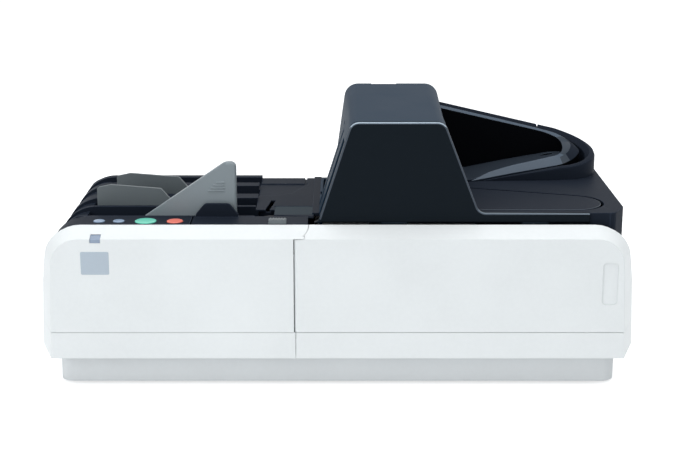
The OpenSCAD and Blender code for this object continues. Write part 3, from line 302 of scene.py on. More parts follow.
def build_settled_dust():
    """A mask that is 0 on walls and rises to the given amount on what lies flat."""
    group, given, result = new_group(
        "settled_dust", [("Amount", FLOAT, 0.1)], [("Dust", FLOAT)])
    links = group.links
    facing = new_node(group, "NewGeometry")
    split = new_node(group, "SeparateXYZ")
    upward = new_node(group, "MapRange", From_Min=0.5, From_Max=1.0)
    where = new_node(group, "TexCoord")
    patches = new_node(group, "TexNoise", Scale=26.0, Detail=5.0)
    motes = new_node(group, "TexNoise", Scale=700.0, Detail=2.0)
    links.new(facing.outputs["Normal"], split.inputs[0])
    links.new(split.outputs["Z"], upward.inputs["Value"])
    links.new(where.outputs["Object"], patches.inputs["Vector"])
    links.new(where.outputs["Object"], motes.inputs["Vector"])
    noise = product(group, patches.outputs["Fac"], motes.outputs["Fac"])
    on_top = product(group, noise, upward.outputs[0])
    links.new(product(group, on_top, given.outputs["Amount"]), result.inputs["Dust"])
    return group


SETTLED_DUST = build_settled_dust()

# %% Drawn metal: long scratches along X, for plated and brushed sheet
def build_drawn_metal():
    """A noise stretched along X, as a height and as a streak mask."""
    group, given, result = new_group(
        "drawn_metal", [("Scale", FLOAT, 300.0)], [("Height", FLOAT), ("Streak", FLOAT)])
    links = group.links
    where = new_node(group, "TexCoord")
    stretch = new_node(group, "Mapping", Scale=(0.04, 1.0, 1.0))
    streak = new_node(group, "TexNoise", Detail=6.0, Roughness=0.65)
    links.new(where.outputs["Object"], stretch.inputs["Vector"])
    links.new(stretch.outputs[0], streak.inputs["Vector"])
    links.new(given.outputs["Scale"], streak.inputs["Scale"])
    links.new(streak.outputs["Fac"], result.inputs["Height"])
    links.new(streak.outputs["Fac"], result.inputs["Streak"])
    return group


DRAWN_METAL = build_drawn_metal()
print("effects:", [g.name for g in bpy.data.node_groups])

# %% [markdown]
# The finishes
#
# There is one finish for each material slot of the record, and a few more for single faces. Several of these
# are lighter or darker copies of a plastic that paint highlights, sheen and shade onto chosen faces. The
# white is a pale plastic with hardly any gloss, the black is a blue-black plastic whose texture scatters the
# light, and the hidden parts are rubber, plated sheet and lacquered board.

# %% Small node helpers
def mix_colour(tree, mask, first, second):
    """A colour between the first and the second; each is four numbers or a socket."""
    mixer = new_node(tree, "Mix")
    mixer.data_type = "RGBA"
    tree.links.new(mask, mixer.inputs["Factor"])
    for socket, value in ((mixer.inputs[6], first), (mixer.inputs[7], second)):
        if isinstance(value, bpy.types.NodeSocket):
            tree.links.new(value, socket)
        else:
            socket.default_value = value
    return mixer.outputs[2]


def shade(colour, factor):
    """A colour made lighter or darker, as four numbers."""
    return tuple(min(1.0, c * factor) for c in colour) + (1.0,)


def map_range(tree, value, low, high):
    """A node that maps 0..1 to low..high; returns its output."""
    mapper = new_node(tree, "MapRange", To_Min=low, To_Max=high)
    tree.links.new(value, mapper.inputs["Value"])
    return mapper.outputs[0]


# %% Moulded plastic
def moulded_plastic(name, colour, roughness, gloss, depth, radius, edge_highlight, dust, coat=0.0, grain=900.0):
    """Plastic from an eroded mould: grain, slow tone, rounded edges with a painted highlight, a little dust.

    The depth of the grain and the radius of the edges are in millimetres.
    """
    material, tree, output = new_material(name)
    links = tree.links
    shader = new_node(tree, "BsdfPrincipled", Specular_IOR_Level=gloss, Coat_Weight=coat, Coat_Roughness=0.12)
    grain_node = new_node(tree, "Group", MOULDED_GRAIN, Scale=grain)
    edge = new_node(tree, "Group", SOFT_EDGE, Radius=radius * MM)
    dust_node = new_node(tree, "Group", SETTLED_DUST, Amount=dust)
    bump = new_node(tree, "Bump", Strength=0.5, Distance=depth * MM)
    body_colour = mix_colour(tree, grain_node.outputs["Cloud"], shade(colour, 0.95), shade(colour, 1.05))
    speckled = mix_colour(tree, map_range(tree, grain_node.outputs["Speck"], -0.1, 0.2),
                          body_colour, shade(colour, 1.12))
    # painted highlight: the edges are made lighter by the edge factor, for rounded edges that catch the light
    edge_highlighted = mix_colour(tree, map_range(tree, edge.outputs["Edge"], 0.0, 0.6), speckled, shade(colour, edge_highlight))
    dusty = mix_colour(tree, dust_node.outputs["Dust"], edge_highlighted, (0.42, 0.41, 0.39, 1.0))
    rough = map_range(tree, grain_node.outputs["Cloud"], roughness - 0.05, roughness + 0.05)
    links.new(dusty, shader.inputs["Base Color"])
    links.new(rough, shader.inputs["Roughness"])
    links.new(grain_node.outputs["Height"], bump.inputs["Height"])
    links.new(edge.outputs["Normal"], bump.inputs["Normal"])
    links.new(bump.outputs["Normal"], shader.inputs["Normal"])
    links.new(shader.outputs[0], output.inputs["Surface"])
    return material


# %% Metal
def plated_metal(name, colour, roughness, scratch):
    """Zinc-plated or turned metal with drawn streaks."""
    material, tree, output = new_material(name)
    links = tree.links
    shader = new_node(tree, "BsdfPrincipled", Metallic=1.0)
    drawn = new_node(tree, "Group", DRAWN_METAL, Scale=scratch)
    edge = new_node(tree, "Group", SOFT_EDGE, Radius=0.3 * MM)
    grain_node = new_node(tree, "Group", MOULDED_GRAIN, Scale=400.0)
    bump = new_node(tree, "Bump", Strength=0.4, Distance=0.02 * MM)
    streaked = mix_colour(tree, drawn.outputs["Streak"], shade(colour, 0.85), shade(colour, 1.1))
    clouded = mix_colour(tree, map_range(tree, grain_node.outputs["Cloud"], 0.0, 0.35),
                         streaked, shade(colour, 0.8))
    links.new(clouded, shader.inputs["Base Color"])
    links.new(map_range(tree, drawn.outputs["Streak"], roughness - 0.1, roughness + 0.12),
              shader.inputs["Roughness"])
    links.new(drawn.outputs["Height"], bump.inputs["Height"])
    links.new(edge.outputs["Normal"], bump.inputs["Normal"])
    links.new(bump.outputs["Normal"], shader.inputs["Normal"])
    links.new(shader.outputs[0], output.inputs["Surface"])
    return material


# %% Circuit board
def lacquered_board(name, colour):
    """A lacquered board: copper traces under green varnish, drawn by a brick pattern and its joints."""
    material, tree, output = new_material(name)
    links = tree.links
    shader = new_node(tree, "BsdfPrincipled")
    where = new_node(tree, "TexCoord")
    traces = new_node(tree, "TexBrick", Scale=55.0, Mortar_Size=0.035, Brick_Width=0.7, Row_Height=0.18,
                      Color1=shade(colour, 0.8), Color2=shade(colour, 1.15), Mortar=shade(colour, 1.9))
    grain_node = new_node(tree, "Group", MOULDED_GRAIN, Scale=500.0)
    bump = new_node(tree, "Bump", Strength=0.3, Distance=0.1 * MM)
    links.new(where.outputs["Object"], traces.inputs["Vector"])
    links.new(traces.outputs["Color"], shader.inputs["Base Color"])
    links.new(traces.outputs["Fac"], bump.inputs["Height"])
    links.new(bump.outputs["Normal"], shader.inputs["Normal"])
    links.new(map_range(tree, grain_node.outputs["Cloud"], 0.22, 0.34), shader.inputs["Roughness"])
    links.new(shader.outputs[0], output.inputs["Surface"])
    return material


# %% One finish for each slot, and some for single faces, several of which paint highlights, sheen and shade
# colour, roughness, gloss, depth of the grain, radius of the edges, painted edge highlight and dust, and
# perhaps coat and grain
PLASTICS = {
    "white_shell": ((0.80, 0.825, 0.83), 0.5, 0.3, 0.02, 0.9, 1.04, 0.03),
    "plinth_grey": ((0.70, 0.72, 0.73), 0.6, 0.25, 0.04, 0.6, 1.04, 0.05),
    "black_shell": ((0.013, 0.0175, 0.027), 0.5, 0.025, 0.05, 0.8, 4.5, 0.006),
    "black_front": ((0.005, 0.0085, 0.0125), 0.5, 0.06, 0.04, 0.8, 5.0, 0.005),
    # painted sheen: a lighter, bluer copy of the black for the tower's shell and its rounded edges
    "tower_painted_sheen": ((0.013, 0.029, 0.051), 0.5, 0.04, 0.05, 0.8, 2.8, 0.008),
    # painted highlights: lighter copies of the black for rounded edges, the brightest for the upper edge of
    # the tower's front cover
    "black_rim": ((0.050, 0.064, 0.084), 0.35, 0.2, 0.02, 0.3, 1.2, 0.004),
    "front_painted_rim_highlight": ((0.110, 0.145, 0.180), 0.3, 0.3, 0.01, 0.3, 1.2, 0.004),
    "bright_painted_highlight": ((0.340, 0.420, 0.500), 0.3, 0.3, 0.01, 0.3, 1.1, 0.002),
    # painted sheen and painted highlight: lighter copies of the black for the island band's top and its faces
    # that look forward
    "band_painted_sheen": ((0.030, 0.042, 0.058), 0.3, 0.2, 0.02, 0.5, 1.6, 0.004),
    "band_painted_highlight": ((0.075, 0.102, 0.138), 0.3, 0.2, 0.02, 0.5, 1.6, 0.004),
    # painted light: a lighter copy of the black for the bay's floor, which faces up
    "bay_floor": ((0.026, 0.034, 0.046), 0.4, 0.06, 0.03, 0.5, 2.0, 0.004),
    # painted shade: a near-black copy of the black for the bay's back wall
    "bay_black": ((0.0016, 0.0020, 0.0030), 0.6, 0.02, 0.03, 0.5, 2.0, 0.002),
    "tray_blue": ((0.016, 0.029, 0.040), 0.45, 0.03, 0.02, 0.4, 2.0, 0.005),
    "badge_metal": ((0.42, 0.49, 0.56), 0.3, 0.5, 0.01, 0.4, 1.3, 0.005, 0.3),
    "grey_plastic": ((0.125, 0.145, 0.155), 0.4, 0.3, 0.04, 0.6, 1.12, 0.02),
    "pusher_grey": ((0.22, 0.255, 0.275), 0.4, 0.3, 0.04, 0.6, 1.5, 0.02),
    "window_clear": ((0.24, 0.31, 0.42), 0.15, 0.5, 0.005, 0.6, 1.3, 0.01, 0.6),
    "key_blue": ((0.22, 0.32, 0.46), 0.3, 0.45, 0.02, 0.6, 1.12, 0.02, 0.2),
    "key_green": ((0.12, 0.62, 0.46), 0.3, 0.45, 0.02, 0.6, 1.12, 0.02, 0.2),
    "key_red": ((0.90, 0.20, 0.14), 0.3, 0.45, 0.02, 0.6, 1.12, 0.02, 0.2),
    "rubber_black": ((0.03, 0.03, 0.03), 0.8, 0.2, 0.1, 0.6, 1.12, 0.15, 0.0, 600.0),
    "tyre_rubber": ((0.05, 0.05, 0.055), 0.75, 0.2, 0.08, 0.6, 1.12, 0.1, 0.0, 700.0),
    "dark_plastic": ((0.04, 0.042, 0.046), 0.5, 0.3, 0.04, 0.6, 1.12, 0.05),
}
# colour, roughness and scale of the scratches
METALS = {
    "steel": ((0.60, 0.61, 0.62), 0.35, 300.0),
    # painted shade: a near-black copy of steel for the transport plate, which shows only in the narrow gap
    # beside the tower
    "blackened_steel": ((0.03, 0.032, 0.036), 0.5, 300.0),
    "aluminium_part": ((0.75, 0.75, 0.76), 0.3, 500.0),
    "motor_metal": ((0.5, 0.5, 0.52), 0.4, 200.0),
}
finishes = {name: moulded_plastic(name, *values) for name, values in PLASTICS.items()}
finishes |= {name: plated_metal(name, *values) for name, values in METALS.items()}
finishes["board_green"] = lacquered_board("board_green", (0.05, 0.22, 0.11))
print("finishes:", len(finishes))

# %% Give every imported node the finish of its slot, or its own where it differs: a painted sheen for the tower's shell and a painted shade for the transport plate
slot_of = {part["node"]: part["material_slot"] for part in record["subparts"]}
own_finish = {"tower_shell": "tower_painted_sheen", "transport_plate": "blackened_steel"}
for node_name, node in nodes.items():
    node.data.materials.clear()
    node.data.materials.append(finishes[own_finish.get(node_name, slot_of[node_name])])
print("dressed nodes:", len(slot_of))

# %% [markdown]
# Rounded edges
#
# Every moulded shell has its edges rounded by a millimetre or two, and these edges carry the thin bright
# lines that draw the machine. The imported solids have sharp edges. So nearly each shell that shows gets a
# copy: its loose triangles are merged, its flat faces are joined again, and a bevel rounds what is sharp.
# On the black shells the rounded faces have a lighter finish of their own, a painted highlight.

# %% Select one object
SMOOTH_BELOW = 40.0
# the shell's own finish, then painted highlights on its rounded edges
SHELL, RIM_HIGHLIGHT, BRIGHT_RIM_HIGHLIGHT, SIDE_RIM_HIGHLIGHT = range(4)


def make_active(piece):
    """Deselect everything, then select this object alone."""
    bpy.ops.object.select_all(action="DESELECT")
    piece.select_set(True)
    bpy.context.view_layer.objects.active = piece


# %% A block
def block(name, low, high):
    """A block between two places of the machine, in millimetres; its object stays at the origin."""
    bpy.ops.object.select_all(action="DESELECT")
    centre = [(a + b) / 2 for a, b in zip(low, high)]
    bpy.ops.mesh.primitive_cube_add(size=MM, location=place(*centre))
    piece = bpy.context.object
    piece.name = name
    piece.scale = [b - a for a, b in zip(low, high)]
    bpy.ops.object.transform_apply(location=True, rotation=True, scale=True)
    return piece


# %% Move vertices, choose faces, round chosen edges
def move_vertices(piece, chosen, shift):
    """Select vertices by their place and move them, in millimetres."""
    make_active(piece)
    for vertex in piece.data.vertices:
        vertex.select = bool(chosen(vertex.co / MM))
    for edge in piece.data.edges:
        edge.select = all(piece.data.vertices[i].select for i in edge.vertices)
    for face in piece.data.polygons:
        face.select = all(piece.data.vertices[i].select for i in face.vertices)
    bpy.ops.object.mode_set(mode="EDIT")
    bpy.ops.transform.translate(value=[c * MM for c in shift])
    bpy.ops.object.mode_set(mode="OBJECT")


def select_faces(piece, chosen):
    """Select the faces that pass the test, and nothing else."""
    make_active(piece)
    bpy.ops.object.mode_set(mode="EDIT")
    bpy.ops.mesh.select_mode(type="FACE")
    bpy.ops.mesh.select_all(action="DESELECT")
    bpy.ops.object.mode_set(mode="OBJECT")
    for face in piece.data.polygons:
        face.select = bool(chosen(face))


def round_edges(piece, chosen, width, segments=4):
    """Bevel the edges whose two ends both pass the test, in millimetres."""
    make_active(piece)
    bpy.ops.object.mode_set(mode="EDIT")
    bpy.ops.mesh.select_mode(type="EDGE")
    bpy.ops.mesh.select_all(action="DESELECT")
    bpy.ops.object.mode_set(mode="OBJECT")
    points = piece.data.vertices
    for edge in piece.data.edges:
        edge.select = bool(chosen(points[edge.vertices[0]].co / MM, points[edge.vertices[1]].co / MM))
    bpy.ops.object.mode_set(mode="EDIT")
    bpy.ops.mesh.bevel(offset=width * MM, segments=segments, affect="EDGES", clamp_overlap=True)
    bpy.ops.mesh.select_mode(type="VERT")
    bpy.ops.object.mode_set(mode="OBJECT")


# %% Cut, join, round and dress
def carve(piece, cutter, solver="EXACT"):
    """Cut the cutter's form out of the piece."""
    cut = piece.modifiers.new("cut", "BOOLEAN")
    cut.operation = "DIFFERENCE"
    cut.solver = solver
    cut.object = cutter
    make_active(piece)
    bpy.ops.object.modifier_apply(modifier="cut")
    print("cut", piece.name, "faces:", len(piece.data.polygons))


def join_pieces(name, parts):
    """Join several objects into the first and name it."""
    bpy.ops.object.select_all(action="DESELECT")
    for part in parts:
        part.select_set(True)
    bpy.context.view_layer.objects.active = parts[0]
    if len(parts) > 1:
        bpy.ops.object.join()
    parts[0].name = name
    return parts[0]


def finish_edges(piece, width, segments=3, angle=32.0, **options):
    """Round every sharp edge a little and even out the shading; options are further settings of the bevel."""
    make_active(piece)
    rounding = piece.modifiers.new("rounding", "BEVEL")
    rounding.width = width * MM
    rounding.segments = segments
    rounding.limit_method = "ANGLE"
    rounding.angle_limit = math.radians(angle)
    for option, value in options.items():
        setattr(rounding, option, value)
    bpy.ops.object.modifier_apply(modifier="rounding")
    bpy.ops.object.shade_smooth_by_angle(angle=math.radians(SMOOTH_BELOW))
    evening = piece.modifiers.new("evening", "WEIGHTED_NORMAL")
    evening.keep_sharp = True
    bpy.ops.object.modifier_apply(modifier="evening")


def dress(piece, body, slot, replaced=(), finish=None):
    """Give a new piece its finish and its body, and hide the nodes that it stands for."""
    piece.data.materials.clear()
    piece.data.materials.append(finish or finishes[slot])
    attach(piece, body)
    if replaced:
        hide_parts(*replaced)
    print(piece.name, "faces:", len(piece.data.polygons))


# %% Copies with rounded edges
CLAMPED_TOO_SMALL = ("tower_front_cover",)
body_of = {name: body for body, names in record["behaviour"]["bodies"].items() for name in names}


def merged_copy(node_name):
    """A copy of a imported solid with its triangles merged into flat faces."""
    piece = bpy.data.objects.new(node_name + "_eased", nodes[node_name].data.copy())
    bpy.context.scene.collection.objects.link(piece)
    make_active(piece)
    bpy.ops.object.mode_set(mode="EDIT")
    bpy.ops.mesh.select_all(action="SELECT")
    bpy.ops.mesh.remove_doubles(threshold=0.02 * MM)
    bpy.ops.mesh.dissolve_limited(angle_limit=math.radians(0.6))
    bpy.ops.object.mode_set(mode="OBJECT")
    return piece


def eased(node_name, width, cutters=(), corner=None, rim=None):
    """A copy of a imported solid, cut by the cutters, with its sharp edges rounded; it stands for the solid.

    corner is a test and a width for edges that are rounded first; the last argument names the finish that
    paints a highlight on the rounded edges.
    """
    piece = merged_copy(node_name)
    before = len(piece.data.polygons)
    for cutter in cutters:
        # the exact solver loses the whole deck with the cutter of the turn
        carve(piece, cutter, "FAST" if cutter.name == "turn_cutter" else "EXACT")
    if corner:
        round_edges(piece, corner[0], corner[1], 8)
    if rim:
        piece.data.materials.append(finishes[rim])
    finish_edges(piece, width, miter_outer="MITER_ARC", material=RIM_HIGHLIGHT if rim else -1,
                 use_clamp_overlap=node_name not in CLAMPED_TOO_SMALL)
    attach(piece, body_of[node_name])
    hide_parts(node_name)
    print(piece.name, "faces", before, "->", len(piece.data.polygons))
    return piece


# %% A slab with a free outline, and a block that runs slantwise over the deck
def slab(name, outline, low_z, high_z):
    """A flat slab over an outline of (X, Y) places, counted anticlockwise."""
    bpy.ops.object.select_all(action="DESELECT")
    bpy.ops.mesh.primitive_circle_add(vertices=len(outline), radius=MM, fill_type="NGON")
    piece = bpy.context.object
    piece.name = name
    for vertex, (x, y) in zip(piece.data.vertices, outline):
        vertex.co = place(x, y, low_z)
    bpy.ops.object.mode_set(mode="EDIT")
    bpy.ops.mesh.select_all(action="SELECT")
    bpy.ops.mesh.extrude_region_move(TRANSFORM_OT_translate={"value": (0.0, 0.0, (high_z - low_z) * MM)})
    bpy.ops.mesh.select_all(action="SELECT")
    bpy.ops.mesh.normals_make_consistent(inside=False)
    bpy.ops.object.mode_set(mode="OBJECT")
    return piece


def slanted_block(name, start, end, width, low_z, high_z):
    """A block between two places of the deck, given as X and Y."""
    piece = block(name, (start[0] - width / 2, start[1], low_z), (start[0] + width / 2, end[1], high_z))
    move_vertices(piece, lambda v: v.y > (start[1] + end[1]) / 2 - DEPTH / 2, (end[0] - start[0], 0.0, 0.0))
    return piece


# %% What is cut out of the decks and of the tower's foot
FIELD_OUTLINE = ((-79.5, 134.5), (-60.3, 136.0), (-45.4, 146.4), (-30.0, 187.0), (-79.5, 187.0))
SLOT_FRONT = (-68.6, 66.0)
SLOT_BACK = (-62.5, 116.0)
SLOT_WIDTH = 4.6
CLEAR_Z = 3.0
shell_cutters = {
    # the slanted slot beside the tray, the lower field behind it and the notch of the rear rim
    "deck_left": [
        slanted_block("slot_cutter", SLOT_FRONT, SLOT_BACK, SLOT_WIDTH, 148.5, 156.0),
        slab("field_cutter", FIELD_OUTLINE, LEFT_DECK_Z - 2.0, LEFT_DECK_Z + CLEAR_Z),
        block("notch_cutter", (-33.6, 186.0, LEFT_DECK_Z - 3.0), (-31.6, 216.0, LEFT_DECK_Z + CLEAR_Z)),
    ],
    # the outer wall of the last turn is a piece of its own, made further down
    "deck_right": [
        block("turn_cutter", (100.7, 156.3, RIGHT_DECK_Z + 0.15), (271.0, 243.0, 241.0)),
        block("rear_wall_cutter", (-30.0, 232.0, 146.5), (-4.5, 241.0, 160.0)),
    ],
    # behind and left of the tower its foot is low
    "tower_shell": [block("foot_cutter", (-30.0, 200.0, 147.0), (-4.6, 236.0, 153.9))],
}


def front_right_corner(a, b):
    """The upright edges at the front right corner of the right deck; a and b are the ends of an edge."""
    return abs(a.z - b.z) > 5 and min(a.x, b.x) > 240 and max(a.y, b.y) < -60


# %% Copies of the shells that show, with the width of their rounded edges
EDGE_WIDTHS = {
    "tower_front_cover": 1.7, "tower_shell": 1.4, "deck_left": 1.2, "deck_right": 1.4,
    "lens_cover": 0.8, "feeder_cover": 1.0, "operation_panel": 1.0, "front_panel_left": 1.2,
    "front_door": 1.2, "skirt_left": 0.8, "skirt_right": 0.8, "base_tray": 1.0,
    "pocket_plate_1": 0.7, "pocket_plate_2": 0.7, "status_window": 0.4, "side_cover_right": 1.0,
}
CORNER_WIDTH = 15.0
corner_rounds = {"deck_right": (front_right_corner, CORNER_WIDTH)}
# the finishes that paint a highlight on the rounded edges of the black shells
rim_highlight_finish = {"tower_front_cover": "front_painted_rim_highlight", "tower_shell": "tower_painted_sheen"}
shells = {}
for name, width in EDGE_WIDTHS.items():
    is_black = slot_of[name].startswith("black")
    rim = rim_highlight_finish.get(name, "black_rim") if is_black else None
    shells[name] = eased(name, width, shell_cutters.get(name, ()), corner_rounds.get(name), rim)
for cutters in shell_cutters.values():
    for cutter in cutters:
        bpy.data.objects.remove(cutter)
print("shells with rounded edges:", len(shells))

# %% [markdown]
# Two small things at the tower
#
# The upper edge of the tower's front cover gets a painted highlight: its rounded faces that look up get a
# bright, lighter finish, and those at its sides a dimmer one. Between the left deck and the tower's foot lies
# a narrow bridge of the deck, so that no light shines through from behind.

# %% The painted highlights on the edges of the front cover
TOWER_EDGE_Z = 200.0
BAND_EDGE_Z = 158.0
LOOKS_UP = 0.45
LOOKS_DOWN = -0.2
front_cover = shells["tower_front_cover"]
front_cover.data.materials.append(finishes["bright_painted_highlight"])
front_cover.data.materials.append(finishes["black_rim"])
# painted highlight: upward rounded faces at the top get the bright copy, side ones a dimmer one, low and
# downward ones the cover's own finish
for face in front_cover.data.polygons:
    height = face.center.z / MM
    if face.material_index != RIM_HIGHLIGHT:
        continue
    if height < BAND_EDGE_Z or face.normal.z < LOOKS_DOWN:
        face.material_index = SHELL
    elif face.normal.z < LOOKS_UP:
        face.material_index = SIDE_RIM_HIGHLIGHT
    elif height > TOWER_EDGE_Z:
        face.material_index = BRIGHT_RIM_HIGHLIGHT
painted_highlight_faces = sum(face.material_index == BRIGHT_RIM_HIGHLIGHT for face in front_cover.data.polygons)
print("faces of the upper edge:", painted_highlight_faces)

# %% The bridge beside the tower
bridge = block("deck_bridge", (-24.0, 64.0, LEFT_DECK_Z - 3.4), (-16.6, 215.0, LEFT_DECK_Z - 0.1))
finish_edges(bridge, 0.4, 2)
dress(bridge, body_of["deck_left"], "black_shell")

# %% [markdown]
# The island of the last turn
#
# Behind the leaf-shaped cover the track climbs round a last, tight turn. Its inner side is one moulding: a
# bay with a sloping floor and a back wall, framed by a smoother band that starts at a pointed nose,
# swings round the turn and runs along the top of the back wall. Its faces carry painted light and shade: a
# painted sheen on the band's top, a painted highlight on its faces that look forward, a lighter floor and a
# near-black back wall. The band is swept: rows of places follow the turn, each with an outer edge, a crest
# and an inner edge, and a grid is wrapped over these rows like a sleeve. The places follow the lines that
# the photograph shows, worked out with the camera above.

# %% The places of the band, from its nose to its end: outer edge, crest and inner edge
RING_X = 227.0
RING_Y = 199.0
BAY_BACK_Y = 216.0
BAND_FOOT_Z = 158.0
BAND_LINES = (
    ((134.8, 157.3, 162.3), (135.2, 157.9, 162.5), (135.6, 158.4, 162.4)),
    ((147.2, 159.7, 164.0), (147.4, 162.4, 166.9), (147.5, 163.2, 167.5)),
    ((157.1, 161.8, 165.4), (157.3, 166.0, 170.1), (157.4, 166.8, 170.6)),
    ((176.8, 166.1, 168.2), (176.9, 171.5, 174.3), (177.0, 172.5, 175.0)),
    ((196.6, 170.4, 170.7), (197.0, 176.0, 177.3), (197.0, 177.4, 178.3)),
    ((216.5, 174.7, 173.3), (214.0, 180.4, 179.9), (213.0, 181.6, 181.0)),
    ((229.0, 178.5, 175.0), (226.6, 183.2, 181.2), (223.5, 184.6, 182.9)),
    ((240.0, 186.5, 178.0), (235.0, 190.4, 184.1), (229.0, 190.0, 185.3)),
    ((247.1, 195.0, 182.0), (238.8, 197.5, 187.0), (231.1, 197.0, 188.4)),
    ((248.6, 202.0, 184.8), (240.2, 203.5, 189.8), (231.1, 202.0, 190.5)),
    ((245.6, 208.5, 188.0), (237.8, 208.5, 192.9), (230.2, 207.0, 192.7)),
    ((239.2, 214.0, 192.3), (232.5, 212.6, 196.4), (225.9, 211.8, 196.2)),
    ((231.0, 218.2, 196.7), (225.0, 216.6, 199.6), (217.5, 215.4, 199.4)),
    ((219.0, 220.4, 200.3), (214.0, 218.6, 202.5), (206.3, 216.0, 202.6)),
    ((180.0, 221.0, 209.9), (180.0, 218.8, 210.9), (180.0, 216.0, 208.8)),
    ((101.0, 221.0, 228.7), (101.0, 218.8, 229.6), (101.0, 216.0, 227.1)),
)


# %% The rows of the band
STEPS_BETWEEN = 4


def between(before, start, end, after, t):
    """A place on the smooth curve from start to end; t runs from 0 to 1."""
    straight = (end - before) * t
    bend = (2 * before - 5 * start + 4 * end - after) * t ** 2
    turn = (3 * start - before - 3 * end + after) * t ** 3
    return 0.5 * (2 * start + straight + bend + turn)


def smooth_line(places):
    """More places, on a smooth curve through the given ones."""
    spots = [Vector(spot) for spot in places]
    curve = []
    for number in range(len(spots) - 1):
        before = spots[max(number - 1, 0)]
        start, end = spots[number], spots[number + 1]
        after = spots[min(number + 2, len(spots) - 1)]
        for step in range(STEPS_BETWEEN):
            curve.append(between(before, start, end, after, step / STEPS_BETWEEN))
    curve.append(spots[-1])
    return curve


def down_to(spot, z):
    """The place under a spot at the height z."""
    return Vector((spot.x, spot.y, z))


outer_line, crest_line, inner_line = (smooth_line(line) for line in zip(*BAND_LINES))
band_rows = [(down_to(inner, BAND_FOOT_Z), inner, crest, outer, down_to(outer, BAND_FOOT_Z))
             for outer, crest, inner in zip(outer_line, crest_line, inner_line)]
print("rows of the band:", len(band_rows))


# %% A sleeve over rows of places
def sleeve(name, rows, width):
    """A closed grid that runs through the rows, with both ends filled."""
    around = len(rows[0])
    bpy.ops.object.select_all(action="DESELECT")
    bpy.ops.mesh.primitive_grid_add(x_subdivisions=around, y_subdivisions=len(rows) - 1, size=MM)
    piece = bpy.context.object
    piece.name = name
    for row, loop in enumerate(rows):
        for column in range(around + 1):
            piece.data.vertices[row * (around + 1) + column].co = place(*loop[column % around])
    make_active(piece)
    bpy.ops.object.mode_set(mode="EDIT")
    bpy.ops.mesh.select_all(action="SELECT")
    bpy.ops.mesh.remove_doubles(threshold=0.01 * MM)
    bpy.ops.mesh.select_all(action="SELECT")
    bpy.ops.mesh.fill_holes(sides=0)
    bpy.ops.mesh.select_all(action="SELECT")
    bpy.ops.mesh.normals_make_consistent(inside=False)
    bpy.ops.object.mode_set(mode="OBJECT")
    finish_edges(piece, width)
    print(name, [round(c, 1) for c in piece.dimensions / MM])
    return piece


band = sleeve("island_band", band_rows, 0.8)

# %% [markdown]
# The outer wall of the last turn
#
# On the other side of the slot stands a wall that rises with the track. Its inner side opens like a funnel
# and its outer side rolls over into the outer face. It is swept in the same way as the band, along a straight
# front arm, a half turn and a straight rear arm, and a small gap is cut into the rear arm.

# %% The section of the outer wall, from its inner foot to its outer foot: radius and height below the crest
WALL_INNER_R = 27.6
WALL_OUTER_R = 37.4
WALL_SECTION = ((WALL_INNER_R, -40.0), (WALL_INNER_R, -5.0), (32.2, 0.0), (34.2, 0.0), (36.4, -1.2),
                (WALL_OUTER_R, -3.6), (WALL_OUTER_R, -40.0))
WALL_FOOT_Z = 161.0
FOOT_DROP = -30.0


def wall_row(middle, outward, top_z, share):
    """One row of the wall: the section laid out from its middle line; share makes it smaller."""
    row = []
    for radius, drop in WALL_SECTION:
        spot = middle + outward * (1.0 + (radius - WALL_INNER_R) * share)
        least_z = WALL_FOOT_Z if drop < FOOT_DROP else WALL_FOOT_Z + 0.6
        row.append(down_to(spot, max(least_z, top_z + drop * max(share, 0.2))))
    return row


# %% The rows of the outer wall: front arm, half turn and rear arm
ARM_START_X = 147.0
ARM_START_Y = 157.8
ARM_END_X = 101.0
MIDDLE_R = WALL_INNER_R - 1.0
FRONT_TOP_Z = 162.9
TURN_START_Z = 175.9
TURN_RISE = 25.4
TURN_POWER = 1.4
BACK_SLOPE = 0.232
FRONT_STEPS = 14
TURN_STEPS = 32
BACK_STEPS = 6
FORWARD = Vector((0.0, -1.0, 0.0))
BACKWARD = Vector((0.0, 1.0, 0.0))
wall_rows = []
for step in range(FRONT_STEPS):
    share = step / FRONT_STEPS
    middle = Vector((ARM_START_X + (RING_X - ARM_START_X) * share,
                     ARM_START_Y + (RING_Y - MIDDLE_R - ARM_START_Y) * share, 0.0))
    top_z = FRONT_TOP_Z + (TURN_START_Z - FRONT_TOP_Z) * share
    wall_rows.append(wall_row(middle, FORWARD, top_z, max(share, 0.06)))
for step in range(TURN_STEPS + 1):
    share = step / TURN_STEPS
    angle = math.radians(-90.0 + 180.0 * share)
    outward = Vector((math.cos(angle), math.sin(angle), 0.0))
    middle = Vector((RING_X, RING_Y, 0.0)) + outward * MIDDLE_R
    wall_rows.append(wall_row(middle, outward, TURN_START_Z + TURN_RISE * share ** TURN_POWER, 1.0))
for step in range(1, BACK_STEPS + 1):
    x = RING_X + (ARM_END_X - RING_X) * step / BACK_STEPS
    top_z = TURN_START_Z + TURN_RISE + BACK_SLOPE * (RING_X - x)
    wall_rows.append(wall_row(Vector((x, RING_Y + MIDDLE_R, 0.0)), BACKWARD, top_z, 1.0))
print("rows of the outer wall:", len(wall_rows))

# %% The outer wall and its gap
outer_wall = sleeve("outer_wall", wall_rows, 0.6)
gap_cutter = block("gap_cutter", (208.1, 224.0, 202.7), (209.9, 242.0, 215.0))
carve(outer_wall, gap_cutter)
bpy.data.objects.remove(gap_cutter)
dress(outer_wall, body_of["deck_right"], "black_shell")

# %% The sloping floor of the bay
FLOOR_SLOPE = ((118.0, 163.2), (133.0, 163.2), (175.0, 171.8), (235.0, 182.4))
FLOOR_LEFT_X = 121.0
FLOOR_RIGHT_X = 231.5
FLOOR_COLUMNS = 30
FLOOR_THICKNESS = 3.0


